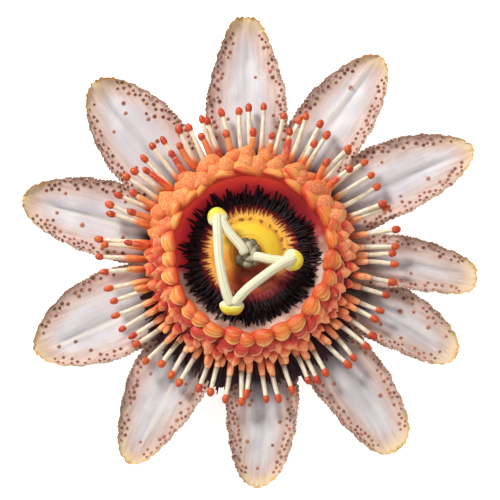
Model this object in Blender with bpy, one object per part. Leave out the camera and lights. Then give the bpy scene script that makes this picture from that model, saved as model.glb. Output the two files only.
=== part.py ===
"""A passion flower, picked just under its receptacle and lying face up.

Metres, +Z up. The origin is the centre of the small flat spot under the receptacle, on which the flower rests.
Eleven tepals spread from the receptacle in two layers. On them stands a red cup, with a ring of long knobbed
filaments round it and a ruff of fleshy orange beads over its rim. In the cup lie the yellow nectar disc and a ring
of dark spines, and over the disc three bent styles join three yellow stigmas and the ovary.
"""

import math
import random
from collections import namedtuple

import bmesh
import bpy
from mathutils import Matrix, Vector

MM = 0.001
GAP = 0.3 * MM  # clearance wherever two pieces meet

# Receptacle: a flared disc with a shelf for the tepals and a short column for the cup.
REST_RADIUS = 5.0 * MM
SHELF = 2.5 * MM
COLUMN_RADIUS = 5.4 * MM
COLUMN_TOP = 5.3 * MM

# Tepals. Each is rolled or lifted a little, so that it lies over the next one and clears it.
BLADE = 0.7 * MM  # thickness of a tepal
BLADE_ROOT = 6.2 * MM  # distance of a tepal's root from the flower's axis
BLADE_BASE = 4.05 * MM  # height of its middle surface there
BLADE_RISE = 1.9 * MM  # how far a tip stands above its root
ROLL = 0.62 * MM  # rise of a rolled tepal's upper side at half the tepals' spacing
SPACING = math.radians(32.7)
CLAW_SLOPE = 0.42  # half-width over distance from the axis, near the root
TAPER = 20.0 * MM  # length of the tapering tip
CUPPING = 1.5 * MM  # how far the margins curl up
KEEL = 0.45 * MM  # height of the raised midrib
TOOTH = 0.35 * MM  # depth of the margin's teeth
BLADE_ROWS = 12
BLADE_COLUMNS = (-1.0, -0.64, -0.15, 0.0, 0.15, 0.64, 1.0)

# Each tepal: the azimuths of its root and its tip, in degrees; the tip's distance from the axis and the widest
# half-width, in millimetres; how pointed the tip is; which side is rolled up; and how far it is lifted, in
# millimetres.
Tepal = namedtuple("Tepal", "root tip reach half_width point roll lift")
TEPALS = (
    Tepal(91.0, 90.8, 48.0, 8.3, 0.90, 0.0, 0.72),
    Tepal(60.0, 56.8, 47.6, 7.6, 0.56, -1.0, 0.20),
    Tepal(33.0, 26.0, 49.1, 7.8, 0.60, -1.0, 0.12),
    Tepal(3.0, 353.6, 44.8, 5.5, 0.30, -1.0, 0.10),
    Tepal(342.0, 333.6, 45.2, 6.5, 0.42, -1.0, -0.15),
    Tepal(312.0, 306.8, 48.3, 7.1, 0.36, -1.0, -0.18),
    Tepal(279.0, 272.1, 46.1, 7.3, 0.45, 0.0, -0.60),
    Tepal(234.0, 240.4, 47.5, 7.8, 0.78, 1.0, 0.0),
    Tepal(202.0, 204.9, 46.1, 9.4, 0.62, 1.0, 0.05),
    Tepal(164.5, 165.8, 45.8, 8.0, 0.52, 1.0, 0.05),
    Tepal(134.0, 130.6, 46.4, 8.8, 0.80, 1.0, 0.10),
)

# Cup: a round wall with a flat floor, open at the top.
CUP_UNDER = COLUMN_TOP + GAP
CUP_FLOOR = CUP_UNDER + 0.7 * MM
CUP_RIM_RADIUS = 15.5 * MM
CUP_RIM = 11.5 * MM

# Filament ring: the collar round the cup's foot and its knobbed filaments.
COLLAR_INNER = 16.4 * MM
COLLAR_OUTER = 19.4 * MM
COLLAR_BOTTOM = 6.0 * MM
COLLAR_TOP = 7.3 * MM
FILAMENTS = 65
FILAMENT_REACH = 29.7 * MM
SLEEVE_RADIUS = 0.66 * MM
STEM_RADIUS = 0.45 * MM
KNOB_RADIUS = 0.85 * MM

# Ruff: rows of beads over a turned core, from the crest over the cup's rim down the outer slope.
RUFF_SEGMENTS = 26
Row = namedtuple("Row", "count radius height along across thick slope")
BEAD_ROWS = (
    Row(31, 17.0, 13.2, 1.9, 1.8, 1.35, 8.0),
    Row(31, 19.2, 11.5, 1.75, 1.75, 1.3, 42.0),
)
BUDS = 34  # small pointed beads along the ruff's foot
BUD_RADIUS = 1.05 * MM
BUD_LENGTH = 3.3 * MM
UPPER_FILAMENTS = 14
UPPER_ARC = (38.0, 174.0)  # azimuths between which the short upper filaments stand, in degrees

# Nectar disc and spine ring, side by side on the cup's floor.
DISC_BOTTOM = CUP_FLOOR + GAP
DISC_RADIUS = 8.4 * MM
SPINE_RING_INNER = DISC_RADIUS + GAP
SPINE_RING_OUTER = 10.9 * MM
SPINE_RING_TOP = 7.6 * MM
SPINES_A_ROW = 66

# Ovary, styles and stigmas.
OVARY_BOTTOM = 9.1 * MM
OVARY_RADIUS = 2.3 * MM
STYLE_RADIUS = 1.0 * MM
STIGMAS = {
    "stigma_left": (-6.5, 7.2, 12.4, 118.0),
    "stigma_low": (-3.3, -11.9, 12.2, 270.0),
    "stigma_right": (10.2, -2.2, 12.2, 350.0),
}
# Each style's centreline, in millimetres, from the flower's middle outwards or from stigma to stigma.
STYLES = {
    "style_ovary_left": ((-1.9, 1.6, 12.2), (-3.1, 3.2, 12.6), (-4.6, 5.2, 12.6)),
    "style_ovary_right": ((1.7, -1.1, 12.0), (4.6, -1.3, 12.4), (7.5, -1.5, 12.3)),
    "style_left_low": ((-6.6, 5.1, 12.9), (-6.5, 0.6, 13.6), (-5.5, -4.6, 13.5), (-4.2, -9.8, 12.6)),
    "style_low_right": ((-2.0, -9.7, 12.6), (0.6, -7.6, 13.4), (4.4, -5.4, 13.6), (8.4, -3.5, 12.8)),
}

ROUND = 36  # sides of the turned pieces


def material(name, colour, roughness):
    """A plain Principled material, made once for each name."""
    made = bpy.data.materials.get(name)
    if made is None:
        made = bpy.data.materials.new(name)
        made.use_nodes = True
        shader = made.node_tree.nodes["Principled BSDF"]
        shader.inputs["Base Color"].default_value = (*colour, 1.0)
        shader.inputs["Roughness"].default_value = roughness
        shader.inputs["Metallic"].default_value = 0.0
    return made


def add_object(name, mesh, surface, smooth_angle=40.0, collection=None):
    """Puts a bmesh into the scene as a named object, its faces pointing out and its round faces smooth."""
    bmesh.ops.recalc_face_normals(mesh, faces=mesh.faces)
    data = bpy.data.meshes.new(name)
    mesh.to_mesh(data)
    mesh.free()
    data.materials.append(surface)
    data.shade_smooth()
    data.set_sharp_from_angle(angle=math.radians(smooth_angle))
    made = bpy.data.objects.new(name, data)
    (collection or bpy.context.scene.collection).objects.link(made)
    return made


def turned(name, profile, surface, sides=ROUND):
    """A solid of revolution about Z. The profile is (radius, height) pairs; ends on the axis are closed there."""
    mesh = bmesh.new()
    points = [mesh.verts.new((radius, 0.0, height)) for radius, height in profile]
    closing = points if profile[0][0] == 0.0 else [*points, points[0]]
    for first, second in zip(closing, closing[1:]):
        mesh.edges.new((first, second))
    bmesh.ops.spin(
        mesh, geom=[*mesh.verts, *mesh.edges], cent=(0, 0, 0), axis=(0, 0, 1), angle=math.tau, steps=sides
    )
    bmesh.ops.remove_doubles(mesh, verts=mesh.verts, dist=0.002 * MM)
    return add_object(name, mesh, surface)


def add_tube(mesh, points, radii, sides, turn=0.0):
    """Adds a closed tube to a bmesh along the points, with a radius at each. A last radius of 0 makes a tip."""
    rings = []
    for index, (point, radius) in enumerate(zip(points, radii)):
        before, after = points[max(index - 1, 0)], points[min(index + 1, len(points) - 1)]
        along = (Vector(after) - Vector(before)).normalized()
        side = along.cross((0, 0, 1)).normalized()
        up = side.cross(along)
        if radius == 0.0:
            rings.append([mesh.verts.new(point)])
            continue
        angles = [math.tau * step / sides + turn for step in range(sides)]
        rings.append(
            [mesh.verts.new(Vector(point) + radius * (math.cos(a) * side + math.sin(a) * up)) for a in angles]
        )
    mesh.faces.new(rings[0])
    for ring, following in zip(rings, rings[1:]):
        for step in range(sides):
            nearest = [ring[step], ring[(step + 1) % sides]]
            if len(following) == 1:
                mesh.faces.new([*nearest, following[0]])
            else:
                mesh.faces.new([*nearest, following[(step + 1) % sides], following[step]])
    if len(rings[-1]) > 1:
        mesh.faces.new(rings[-1])


def smooth_path(points, count):
    """Points along a Catmull-Rom curve through the given ones."""
    points = [Vector(p) for p in points]
    padded = [2 * points[0] - points[1], *points, 2 * points[-1] - points[-2]]
    path = []
    for step in range(count):
        place = step / (count - 1) * (len(points) - 1)
        span = min(int(place), len(points) - 2)
        t = place - span
        a, b, c, d = padded[span : span + 4]
        path.append(
            0.5 * (2 * b + (c - a) * t + (2 * a - 5 * b + 4 * c - d) * t**2 + (3 * b - a - 3 * c + d) * t**3)
        )
    return path


def joined(base, parts, solver="MANIFOLD"):
    """Unions every object of the collection into base, applies it and removes the collection's objects."""
    union = base.modifiers.new("union", "BOOLEAN")
    union.operation = "UNION"
    union.operand_type = "COLLECTION"
    union.collection = parts
    union.solver = solver
    graph = bpy.context.evaluated_depsgraph_get()
    fused = bpy.data.meshes.new_from_object(base.evaluated_get(graph))
    base.modifiers.clear()
    base.data = fused
    for piece in list(parts.objects):
        bpy.data.objects.remove(piece)
    bpy.data.collections.remove(parts)
    return base


def part_collection(name):
    """A collection in the scene for the pieces of one union."""
    made = bpy.data.collections.new(name)
    bpy.context.scene.collection.children.link(made)
    return made


def polar(radius, azimuth, height):
    """A point from its distance to the axis, its azimuth in degrees and its height."""
    turn = math.radians(azimuth)
    return Vector((radius * math.cos(turn), radius * math.sin(turn), height))


def smoothstep(low, high, value):
    """0 below low, 1 above high, and a smooth step between them."""
    t = min(max((value - low) / (high - low), 0.0), 1.0)
    return t * t * (3.0 - 2.0 * t)


def receptacle():
    """The flower's green base: flat underneath, flared, with a shelf under the tepals and a short column."""
    profile = (
        (0.0, 0.0),
        (REST_RADIUS, 0.0),
        (7.6 * MM, 0.5 * MM),
        (9.9 * MM, 1.4 * MM),
        (10.6 * MM, 2.2 * MM),
        (10.2 * MM, SHELF),
        (COLUMN_RADIUS, SHELF),
        (COLUMN_RADIUS, COLUMN_TOP),
        (0.0, COLUMN_TOP),
    )
    turned("receptacle", profile, material("receptacle", (0.42, 0.50, 0.24), 0.55), sides=28)


def blade_half_width(tepal, radius):
    """Half-width of a tepal: a claw that widens from the root, then a body that tapers to a rounded tip."""
    taper = min((tepal.reach * MM - radius) / TAPER, 1.0)
    body = tepal.half_width * MM * (taper * (2.0 - taper)) ** tepal.point
    claw = CLAW_SLOPE * radius
    return (body**-5 + claw**-5) ** -0.2


def blade_point(tepal, share, across, tooth=0.0):
    """A point on the middle surface of a tepal, at a share of its length and of its half-width."""
    radius = BLADE_ROOT + share * (tepal.reach * MM - BLADE_ROOT)
    half_width = blade_half_width(tepal, radius)
    sideways_step = across * half_width + math.copysign(tooth, across)
    roll = ROLL * tepal.roll * sideways_step / (radius * math.tan(SPACING / 2))
    narrowing = half_width / (tepal.half_width * MM)
    curl = CUPPING * smoothstep(0.4, 0.8, share) * abs(across) ** 2.2 * narrowing
    keel = KEEL * smoothstep(0.25, 0.5, share) * smoothstep(1.0, 0.85, share) * (across == 0.0)
    height = BLADE_BASE + tepal.lift * MM + BLADE_RISE * share**2 + roll + curl + keel
    bend = (tepal.tip - tepal.root + 180.0) % 360.0 - 180.0
    azimuth = math.radians(tepal.root + bend * share)
    outward = Vector((math.cos(azimuth), math.sin(azimuth), 0.0))
    sideways = Vector((-math.sin(azimuth), math.cos(azimuth), 0.0))
    return radius * outward + sideways_step * sideways + Vector((0.0, 0.0, height))


def row_share(row):
    """Share of the length at which a row of a tepal's grid lies: closer together towards the tip."""
    return 0.994 * math.sin(0.5 * math.pi * row / (BLADE_ROWS - 1)) ** 1.1


def tepal_blade(name, tepal):
    """One tepal: a cupped blade with a raised midrib and a toothed margin, given its thickness by Solidify."""
    mesh = bmesh.new()
    rows = []
    for row in range(BLADE_ROWS):
        rows.append([mesh.verts.new(blade_point(tepal, row_share(row), across)) for across in BLADE_COLUMNS])
    last = len(BLADE_COLUMNS) - 1
    for row, (near, far) in enumerate(zip(rows, rows[1:])):
        share = (row_share(row) + row_share(row + 1)) / 2
        for column in range(last):
            corners = [near[column], near[column + 1], far[column + 1], far[column]]
            if share > 0.3 and column == 0:
                corners.append(mesh.verts.new(blade_point(tepal, share, -1.0, TOOTH)))
            if share > 0.3 and column == last - 1:
                corners.insert(2, mesh.verts.new(blade_point(tepal, share, 1.0, TOOTH)))
            mesh.faces.new(corners)
    bmesh.ops.triangulate(mesh, faces=mesh.faces)
    blade = add_object(name, mesh, material("tepal", (0.86, 0.83, 0.86), 0.6))
    wall = blade.modifiers.new("thickness", "SOLIDIFY")
    wall.thickness = BLADE
    wall.offset = 0.0


def cup():
    """The red cup: a flat floor, a round corner and a steep wall that opens a little upwards."""
    wall = 0.6 * MM
    corner = 2.0 * MM
    foot = CUP_RIM_RADIUS - 1.0 * MM  # the wall's inner radius where the corner ends
    inner = [(0.0, CUP_FLOOR)]
    outer = [(0.0, CUP_UNDER)]
    for step in range(4):
        turn = math.radians(30.0 * step)
        reach, lift = math.sin(turn), 1.0 - math.cos(turn)
        inner.append((foot - corner + corner * reach, CUP_FLOOR + corner * lift))
        outer.append((foot - corner + (corner + wall) * reach, CUP_UNDER + (corner + CUP_FLOOR - CUP_UNDER) * lift))
    inner.append((CUP_RIM_RADIUS, CUP_RIM))
    outer.append((CUP_RIM_RADIUS + wall, CUP_RIM))
    turned("cup", [*outer, *reversed(inner)], material("cup", (0.66, 0.09, 0.07), 0.5), sides=30)


def knobbed_filament(root, tip, sleeve_share, rise):
    """Centreline points and radii of a filament: a fleshy sleeve, a thin stem and an egg-shaped knob."""
    shares = (0.0, sleeve_share, sleeve_share + 0.03, 0.8, 0.91, 1.0)
    radii = (SLEEVE_RADIUS, SLEEVE_RADIUS, STEM_RADIUS, STEM_RADIUS, KNOB_RADIUS, 0.0)
    bow = Vector((0.0, 0.0, rise))
    points = [root.lerp(tip, share) + bow * math.sin(math.pi * share) for share in shares]
    return points, radii


def filament_ring():
    """The collar round the cup with its long filaments, fused into one body."""
    surface = material("filament", (0.93, 0.85, 0.66), 0.5)
    middle = (COLLAR_BOTTOM + COLLAR_TOP) / 2
    collar = (
        (COLLAR_INNER, COLLAR_BOTTOM),
        (COLLAR_OUTER - 0.4 * MM, COLLAR_BOTTOM),
        (COLLAR_OUTER, middle),
        (COLLAR_OUTER - 0.4 * MM, COLLAR_TOP),
        (COLLAR_INNER, COLLAR_TOP),
    )
    base = turned("filament_ring", collar, surface, sides=30)
    parts = part_collection("filaments")
    draw = random.Random(7)
    for index in range(FILAMENTS):
        azimuth = 360.0 * (index + draw.uniform(-0.22, 0.22)) / FILAMENTS
        reach = FILAMENT_REACH + draw.uniform(-1.2, 0.7) * MM
        root = polar(COLLAR_OUTER - 1.1 * MM, azimuth, middle + 0.02 * MM)
        tip = polar(reach, azimuth + draw.uniform(-2.0, 2.0), 8.4 * MM + draw.uniform(-0.5, 0.7) * MM)
        points, radii = knobbed_filament(root, tip, draw.uniform(0.34, 0.48), 0.35 * MM)
        mesh = bmesh.new()
        add_tube(mesh, points, radii, sides=4, turn=draw.uniform(0.0, 1.0))
        add_object(f"filament_{index}", mesh, surface, collection=parts)
    joined(base, parts)


def bead(name, row, azimuth, draw, surface, parts):
    """One fleshy bead of the ruff: a squat ball, set square to the slope and turned to its azimuth."""
    mesh = bmesh.new()
    bmesh.ops.create_uvsphere(mesh, u_segments=6, v_segments=4, radius=1.05)
    swell = draw.uniform(0.92, 1.1)
    size = Matrix.Diagonal((row.along * swell, row.across * swell, row.thick, 1.0 / MM)) * MM
    tilt = Matrix.Rotation(math.radians(row.slope + draw.uniform(-9.0, 9.0)), 4, "Y")
    turn = Matrix.Rotation(math.radians(azimuth + draw.uniform(-6.0, 6.0)), 4, "Z")
    twist = Matrix.Rotation(draw.uniform(-0.5, 0.5), 4, "Z")
    radius = row.radius + draw.uniform(-0.15, 0.25)
    height = row.height + draw.uniform(-0.2, 0.2)
    place = Matrix.Translation(polar(radius * MM, azimuth, height * MM))
    bmesh.ops.transform(mesh, matrix=place @ turn @ tilt @ twist @ size, verts=mesh.verts)
    add_object(name, mesh, surface, collection=parts)


def ruff():
    """The orange ruff: a turned core with rows of beads and short upper filaments, fused into one body."""
    surface = material("ruff", (0.93, 0.36, 0.12), 0.35)
    foot = COLLAR_TOP + GAP
    core = (
        (CUP_RIM_RADIUS + 1.0 * MM, foot),
        (18.8 * MM, foot + 0.3 * MM),
        (20.6 * MM, foot + 1.5 * MM),
        (19.5 * MM, 11.5 * MM),
        (18.0 * MM, 13.0 * MM),
        (CUP_RIM_RADIUS + 1.0 * MM, 12.9 * MM),
    )
    base = turned("ruff", core, surface, sides=RUFF_SEGMENTS)
    parts = part_collection("beads")
    draw = random.Random(11)
    for number, row in enumerate(BEAD_ROWS):
        for index in range(row.count):
            azimuth = 360.0 * (index + 0.5 * (number % 2) + draw.uniform(-0.12, 0.12)) / row.count
            bead(f"bead_{number}_{index}", row, azimuth, draw, surface, parts)
    for index in range(BUDS):
        azimuth = 360.0 * (index + 0.5 + draw.uniform(-0.15, 0.15)) / BUDS
        root = polar(19.3 * MM, azimuth, 10.3 * MM + draw.uniform(-0.25, 0.25) * MM)
        slope = math.radians(draw.uniform(-22.0, 2.0))
        tip = root + BUD_LENGTH * polar(math.cos(slope), azimuth + draw.uniform(-12.0, 12.0), math.sin(slope))
        mesh = bmesh.new()
        add_tube(mesh, (root, root.lerp(tip, 0.55), tip), (BUD_RADIUS, BUD_RADIUS, 0.0), sides=5)
        add_object(f"bud_{index}", mesh, surface, collection=parts)
    first, last = UPPER_ARC
    for index in range(UPPER_FILAMENTS):
        azimuth = first + (last - first) * (index + draw.uniform(-0.25, 0.25)) / (UPPER_FILAMENTS - 1)
        root = polar(19.6 * MM, azimuth, 10.2 * MM)
        tip = polar(25.6 * MM + draw.uniform(-1.8, 0.9) * MM, azimuth + draw.uniform(-3.0, 3.0), 12.6 * MM)
        points, radii = knobbed_filament(root, tip, 0.55, 0.2 * MM)
        mesh = bmesh.new()
        add_tube(mesh, points, radii, sides=4, turn=draw.uniform(0.0, 1.0))
        add_object(f"upper_filament_{index}", mesh, surface, collection=parts)
    joined(base, parts)


def nectar_disc():
    """The yellow disc: a rounded rim, a groove and a low dome with a shallow step."""
    profile = (
        (0.0, DISC_BOTTOM),
        (DISC_RADIUS, DISC_BOTTOM),
        (8.2 * MM, 7.4 * MM),
        (7.4 * MM, 7.65 * MM),
        (6.7 * MM, 7.4 * MM),
        (6.0 * MM, 7.7 * MM),
        (4.6 * MM, 8.4 * MM),
        (3.0 * MM, 8.75 * MM),
        (0.0, 8.8 * MM),
    )
    turned("nectar_disc", profile, material("nectar_disc", (0.95, 0.68, 0.10), 0.35), sides=32)


def spine_ring():
    """The dark ring round the disc. Its outer wall is two rows of faces, and a spine grows out of each face."""
    mesh = bmesh.new()
    draw = random.Random(5)
    middle = (DISC_BOTTOM + SPINE_RING_TOP) / 2
    profile = (
        (SPINE_RING_OUTER, DISC_BOTTOM),
        (SPINE_RING_OUTER + 0.3 * MM, middle),
        (SPINE_RING_OUTER - 0.5 * MM, SPINE_RING_TOP),
        (SPINE_RING_INNER, SPINE_RING_TOP),
        (SPINE_RING_INNER, DISC_BOTTOM),
    )
    step = 360.0 / SPINES_A_ROW
    loops = [
        [mesh.verts.new(polar(radius, index * step, height)) for index in range(SPINES_A_ROW)]
        for radius, height in profile
    ]
    for row in range(len(loops)):
        low, high = loops[row], loops[(row + 1) % len(loops)]
        for index in range(SPINES_A_ROW):
            following = (index + 1) % SPINES_A_ROW
            face = (low[index], low[following], high[following], high[index])
            if row > 1:
                mesh.faces.new(face)
                continue
            reach = draw.uniform(13.2, 14.5) if (index + row) % 3 else draw.uniform(12.0, 13.2)
            height = 7.0 + 0.9 * row + draw.uniform(-0.1, 0.9)
            azimuth = (index + 0.5 + draw.uniform(-0.3, 0.3)) * step
            tip = mesh.verts.new(polar(reach * MM, azimuth, height * MM))
            for corner, after in zip(face, face[1:] + face[:1]):
                mesh.faces.new((corner, after, tip))
    add_object("spine_ring", mesh, material("spine", (0.035, 0.012, 0.025), 0.4), smooth_angle=20.0)


def ovary():
    """The greyish ovary in the middle: a short stalk with a cluster of rounded lobes, fused into one body."""
    surface = material("ovary", (0.42, 0.38, 0.26), 0.45)
    top = OVARY_BOTTOM + 2.0 * MM
    stalk = ((0.0, OVARY_BOTTOM), (1.5 * MM, OVARY_BOTTOM), (1.7 * MM, top), (0.0, top))
    base = turned("ovary", stalk, surface, sides=12)
    parts = part_collection("lobes")
    draw = random.Random(3)
    for index in range(7):
        outward = 0.0 if index == 6 else OVARY_RADIUS * 0.55
        height = OVARY_BOTTOM + (2.3 if index == 6 else 1.5) * MM
        mesh = bmesh.new()
        bmesh.ops.create_uvsphere(mesh, u_segments=6, v_segments=4, radius=draw.uniform(1.0, 1.2) * MM)
        place = Matrix.Translation(polar(outward, 60.0 * index + draw.uniform(-8.0, 8.0), height))
        spin = Matrix.Rotation(draw.uniform(0.0, 1.0), 4, "Z")
        bmesh.ops.transform(mesh, matrix=place @ spin @ Matrix.Diagonal((1.0, 1.0, 1.15, 1.0)), verts=mesh.verts)
        add_object(f"lobe_{index}", mesh, surface, collection=parts)
    joined(base, parts)


def style(name, centreline):
    """One style: a bent tube along a smooth curve through its points."""
    path = smooth_path([Vector(p) * MM for p in centreline], 3 * len(centreline) - 2)
    mesh = bmesh.new()
    add_tube(mesh, path, [STYLE_RADIUS] * len(path), sides=7)
    add_object(name, mesh, material("style", (0.90, 0.90, 0.68), 0.45), smooth_angle=60.0)


def stigma(name, x, y, z, azimuth):
    """One stigma: a kidney-shaped cushion, its hollow side towards the styles that end at it."""
    mesh = bmesh.new()
    bmesh.ops.create_uvsphere(mesh, u_segments=12, v_segments=8, radius=1.0)
    for vertex in mesh.verts:
        inward, sideways, up = vertex.co
        bend = 0.45 * (sideways * sideways)
        vertex.co = Vector(((inward * 1.05 - bend) * MM, sideways * 2.05 * MM, up * 1.25 * MM))
    turn = Matrix.Rotation(math.radians(azimuth), 4, "Z")
    place = Matrix.Translation(Vector((x, y, z)) * MM)
    bmesh.ops.transform(mesh, matrix=place @ turn, verts=mesh.verts)
    add_object(name, mesh, material("stigma", (0.93, 0.82, 0.16), 0.5))


def main():
    for old in list(bpy.data.objects):
        bpy.data.objects.remove(old)
    receptacle()
    for number, tepal in enumerate(TEPALS, start=1):
        tepal_blade(f"tepal_{number:02d}", tepal)
    cup()
    filament_ring()
    ruff()
    nectar_disc()
    spine_ring()
    ovary()
    for name, centreline in STYLES.items():
        style(name, centreline)
    for name, (x, y, z, azimuth) in STIGMAS.items():
        stigma(name, x, y, z, azimuth)


main()
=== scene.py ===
"""Looks of the passion flower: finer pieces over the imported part, their materials, floor, lights and camera.

Lengths are in millimetres until a mesh is made. The row frame has +Z up and the flower's axis at x = y = 0.
The flower's near side is the one towards -Y, and azimuths run from +X towards +Y.
"""

import math
import random
from collections import namedtuple

import bpy
import numpy as np
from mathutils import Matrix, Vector


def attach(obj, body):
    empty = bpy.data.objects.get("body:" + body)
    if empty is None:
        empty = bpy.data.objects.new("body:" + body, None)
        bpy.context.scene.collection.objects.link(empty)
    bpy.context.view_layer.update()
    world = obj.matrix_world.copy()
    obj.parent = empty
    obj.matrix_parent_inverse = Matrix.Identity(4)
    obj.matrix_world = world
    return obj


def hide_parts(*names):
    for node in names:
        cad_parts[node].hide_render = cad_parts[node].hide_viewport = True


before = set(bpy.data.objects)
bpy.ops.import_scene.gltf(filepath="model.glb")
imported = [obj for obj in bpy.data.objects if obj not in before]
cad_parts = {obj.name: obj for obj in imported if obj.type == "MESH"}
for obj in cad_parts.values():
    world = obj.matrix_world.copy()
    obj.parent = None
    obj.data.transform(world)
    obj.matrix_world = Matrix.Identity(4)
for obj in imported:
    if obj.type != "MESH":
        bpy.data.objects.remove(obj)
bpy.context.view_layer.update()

MM = 0.001
TAU = 2.0 * math.pi


# ------------------------------------------------------------------------------------------------
# Curves and meshes


def smoothstep(low, high, value):
    """0 below low, 1 above high, and the cubic step 3t^2 - 2t^3 between them."""
    t = np.clip((value - low) / (high - low), 0.0, 1.0)
    return t * t * (3.0 - 2.0 * t)


def bell(value, middle, width):
    """e to the minus square of the distance from the middle over the width: 1 at the middle, 0 far off."""
    return np.exp(-(((value - middle) / width) ** 2))


def wobble(place, seed, waves=5):
    """A smooth random curve between about -1 and 1: a sum of sines with seeded phases, over whole arrays."""
    draw = np.random.default_rng(seed)
    total = np.zeros_like(place)
    for number in range(1, waves + 1):
        total = total + np.sin(place * number * draw.uniform(0.8, 1.25) + draw.uniform(0, TAU)) / number
    return total / 1.6


def around(steps):
    """The turns of even steps round a circle, in radians."""
    return np.linspace(0.0, TAU, steps, endpoint=False)


def unit(vectors):
    """Vectors divided by their lengths."""
    return vectors / np.linalg.norm(vectors, axis=-1, keepdims=True)


def rotate(a, b, turn):
    """The pair (a, b) turned from the first axis towards the second."""
    return a * np.cos(turn) - b * np.sin(turn), a * np.sin(turn) + b * np.cos(turn)


def spun(radius, turn, height, shift=0.0):
    """Points from arrays of distance to the axis, turn in radians and height, moved along y by shift."""
    parts = np.broadcast_arrays(radius * np.cos(turn), radius * np.sin(turn) + shift, height)
    return np.stack(parts, axis=-1)


def polar(radius, azimuth, height):
    """Points from arrays of distance to the axis, azimuth in degrees and height."""
    return spun(radius, np.radians(azimuth), height)


def even(first, width, count, steps, jitter, draw):
    """Azimuths from the first one over a width in even steps, each moved by up to jitter steps."""
    return first + width * (np.arange(count) + draw.uniform(-jitter, jitter, count)) / steps


def between(roots, tips, share):
    """Straight paths from the roots to the tips, with points at the shares of their length."""
    return roots[:, None] + (tips - roots)[:, None] * share


def tube_faces(rows, sides, ring):
    """Quads and end caps of a tube of rows rings with sides points each, numbered ring by ring.

    If it is a ring, its last row joins its first one, and it has no caps.
    """
    row = np.arange(rows if ring else rows - 1)[:, None]
    side = np.arange(sides)[None, :]
    beside = (side + 1) % sides
    above = (row + 1) % rows
    corners = (row * sides + side, row * sides + beside, above * sides + beside, above * sides + side)
    first = np.arange(sides)
    caps = np.stack((first[::-1], (rows - 1) * sides + first))
    return np.stack(corners, axis=-1).reshape(-1, 4), caps[: 0 if ring else 2]


def add_piece(name, points, material, nodes=(), values=None, plane=None, ring=False):
    """Makes a mesh object from a whole grid of points and puts it on the flower.

    points is (copies, rows, sides, 3), or (rows, sides, 3) for a single copy. Every copy is a closed
    tube, or a ring whose last row joins its first one. values holds the attributes and plane the two UV
    places, and they spread over the grid. The faces are turned out by the sign of the first copy's
    volume.
    """
    points = np.asarray(points, dtype=np.float64)
    whole = points.shape[:3] if points.ndim == 4 else (1, *points.shape[:2])
    copies, rows, sides = whole
    size = rows * sides
    points = points.reshape(copies, size, 3)
    quads, caps = tube_faces(rows, sides, ring)
    a, b, c, d = (points[0][quads[:, k]] for k in range(4))
    volume = np.einsum("ij,ij->i", a, np.cross(b, c)).sum() + np.einsum("ij,ij->i", a, np.cross(c, d)).sum()
    if volume < 0.0:
        quads, caps = quads[:, ::-1], caps[:, ::-1]
    offsets = (np.arange(copies) * size)[:, None, None]
    all_quads = (quads[None] + offsets).reshape(-1, 4)
    all_caps = (caps[None] + offsets).reshape(-1, sides)
    loops = np.concatenate((all_quads.ravel(), all_caps.ravel())).astype(np.int32)
    sizes = np.concatenate((np.full(len(all_quads), 4), np.full(len(all_caps), sides))).astype(np.int32)
    starts = np.concatenate(([0], np.cumsum(sizes)[:-1])).astype(np.int32)
    mesh = bpy.data.meshes.new(name)
    mesh.vertices.add(copies * size)
    mesh.vertices.foreach_set("co", (points * MM).astype(np.float32).ravel())
    mesh.loops.add(len(loops))
    mesh.loops.foreach_set("vertex_index", loops)
    mesh.polygons.add(len(sizes))
    mesh.polygons.foreach_set("loop_start", starts)
    mesh.polygons.foreach_set("loop_total", sizes)
    mesh.polygons.foreach_set("use_smooth", np.full(len(sizes), True))
    if plane is not None:
        places = np.stack([np.broadcast_to(part, whole) for part in plane], axis=-1)
        layer = mesh.uv_layers.new(name="UVMap")
        layer.data.foreach_set("uv", places.astype(np.float32).reshape(-1, 2)[loops].ravel())
    for key, value in (values or {}).items():
        layer = mesh.attributes.new(key, "FLOAT", "POINT")
        layer.data.foreach_set("value", np.broadcast_to(value, whole).astype(np.float32).ravel())
    mesh.update(calc_edges=True)
    mesh.validate()
    mesh.materials.append(material)
    made = bpy.data.objects.new(name, mesh)
    bpy.context.scene.collection.objects.link(made)
    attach(made, "root")
    if nodes:
        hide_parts(*nodes)


def sweep(path, radius, sides, flatten=1.0, ridges=1.0):
    """Tubes along paths of (copies, rows, 3): a circle of the given radius is carried along each path.

    The circle stands square to the path, one axis level and the other towards +Z. flatten scales the
    upright axis, and ridges is a factor on the radius for each side.
    """
    along = unit(np.gradient(path, axis=1))
    side = unit(np.cross(along, np.array([0.0, 0.0, 1.0])))
    up = np.cross(side, along)
    turn = around(sides)
    across = (np.cos(turn) * ridges)[None, None, :, None] * side[:, :, None]
    upright = (np.sin(turn) * ridges * flatten)[None, None, :, None] * up[:, :, None]
    return path[:, :, None] + np.asarray(radius)[..., None, None] * (across + upright)


# ------------------------------------------------------------------------------------------------
# Materials

BLACK = (0.0, 0.0, 0.0, 1.0)
WHITE = (1.0, 1.0, 1.0, 1.0)


def srgb(red, green, blue):
    """Linear colour from 0-255 display values."""
    parts = (((v / 255.0 + 0.055) / 1.055) ** 2.4 if v > 10 else v / 3294.6 for v in (red, green, blue))
    return (*parts, 1.0)


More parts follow.
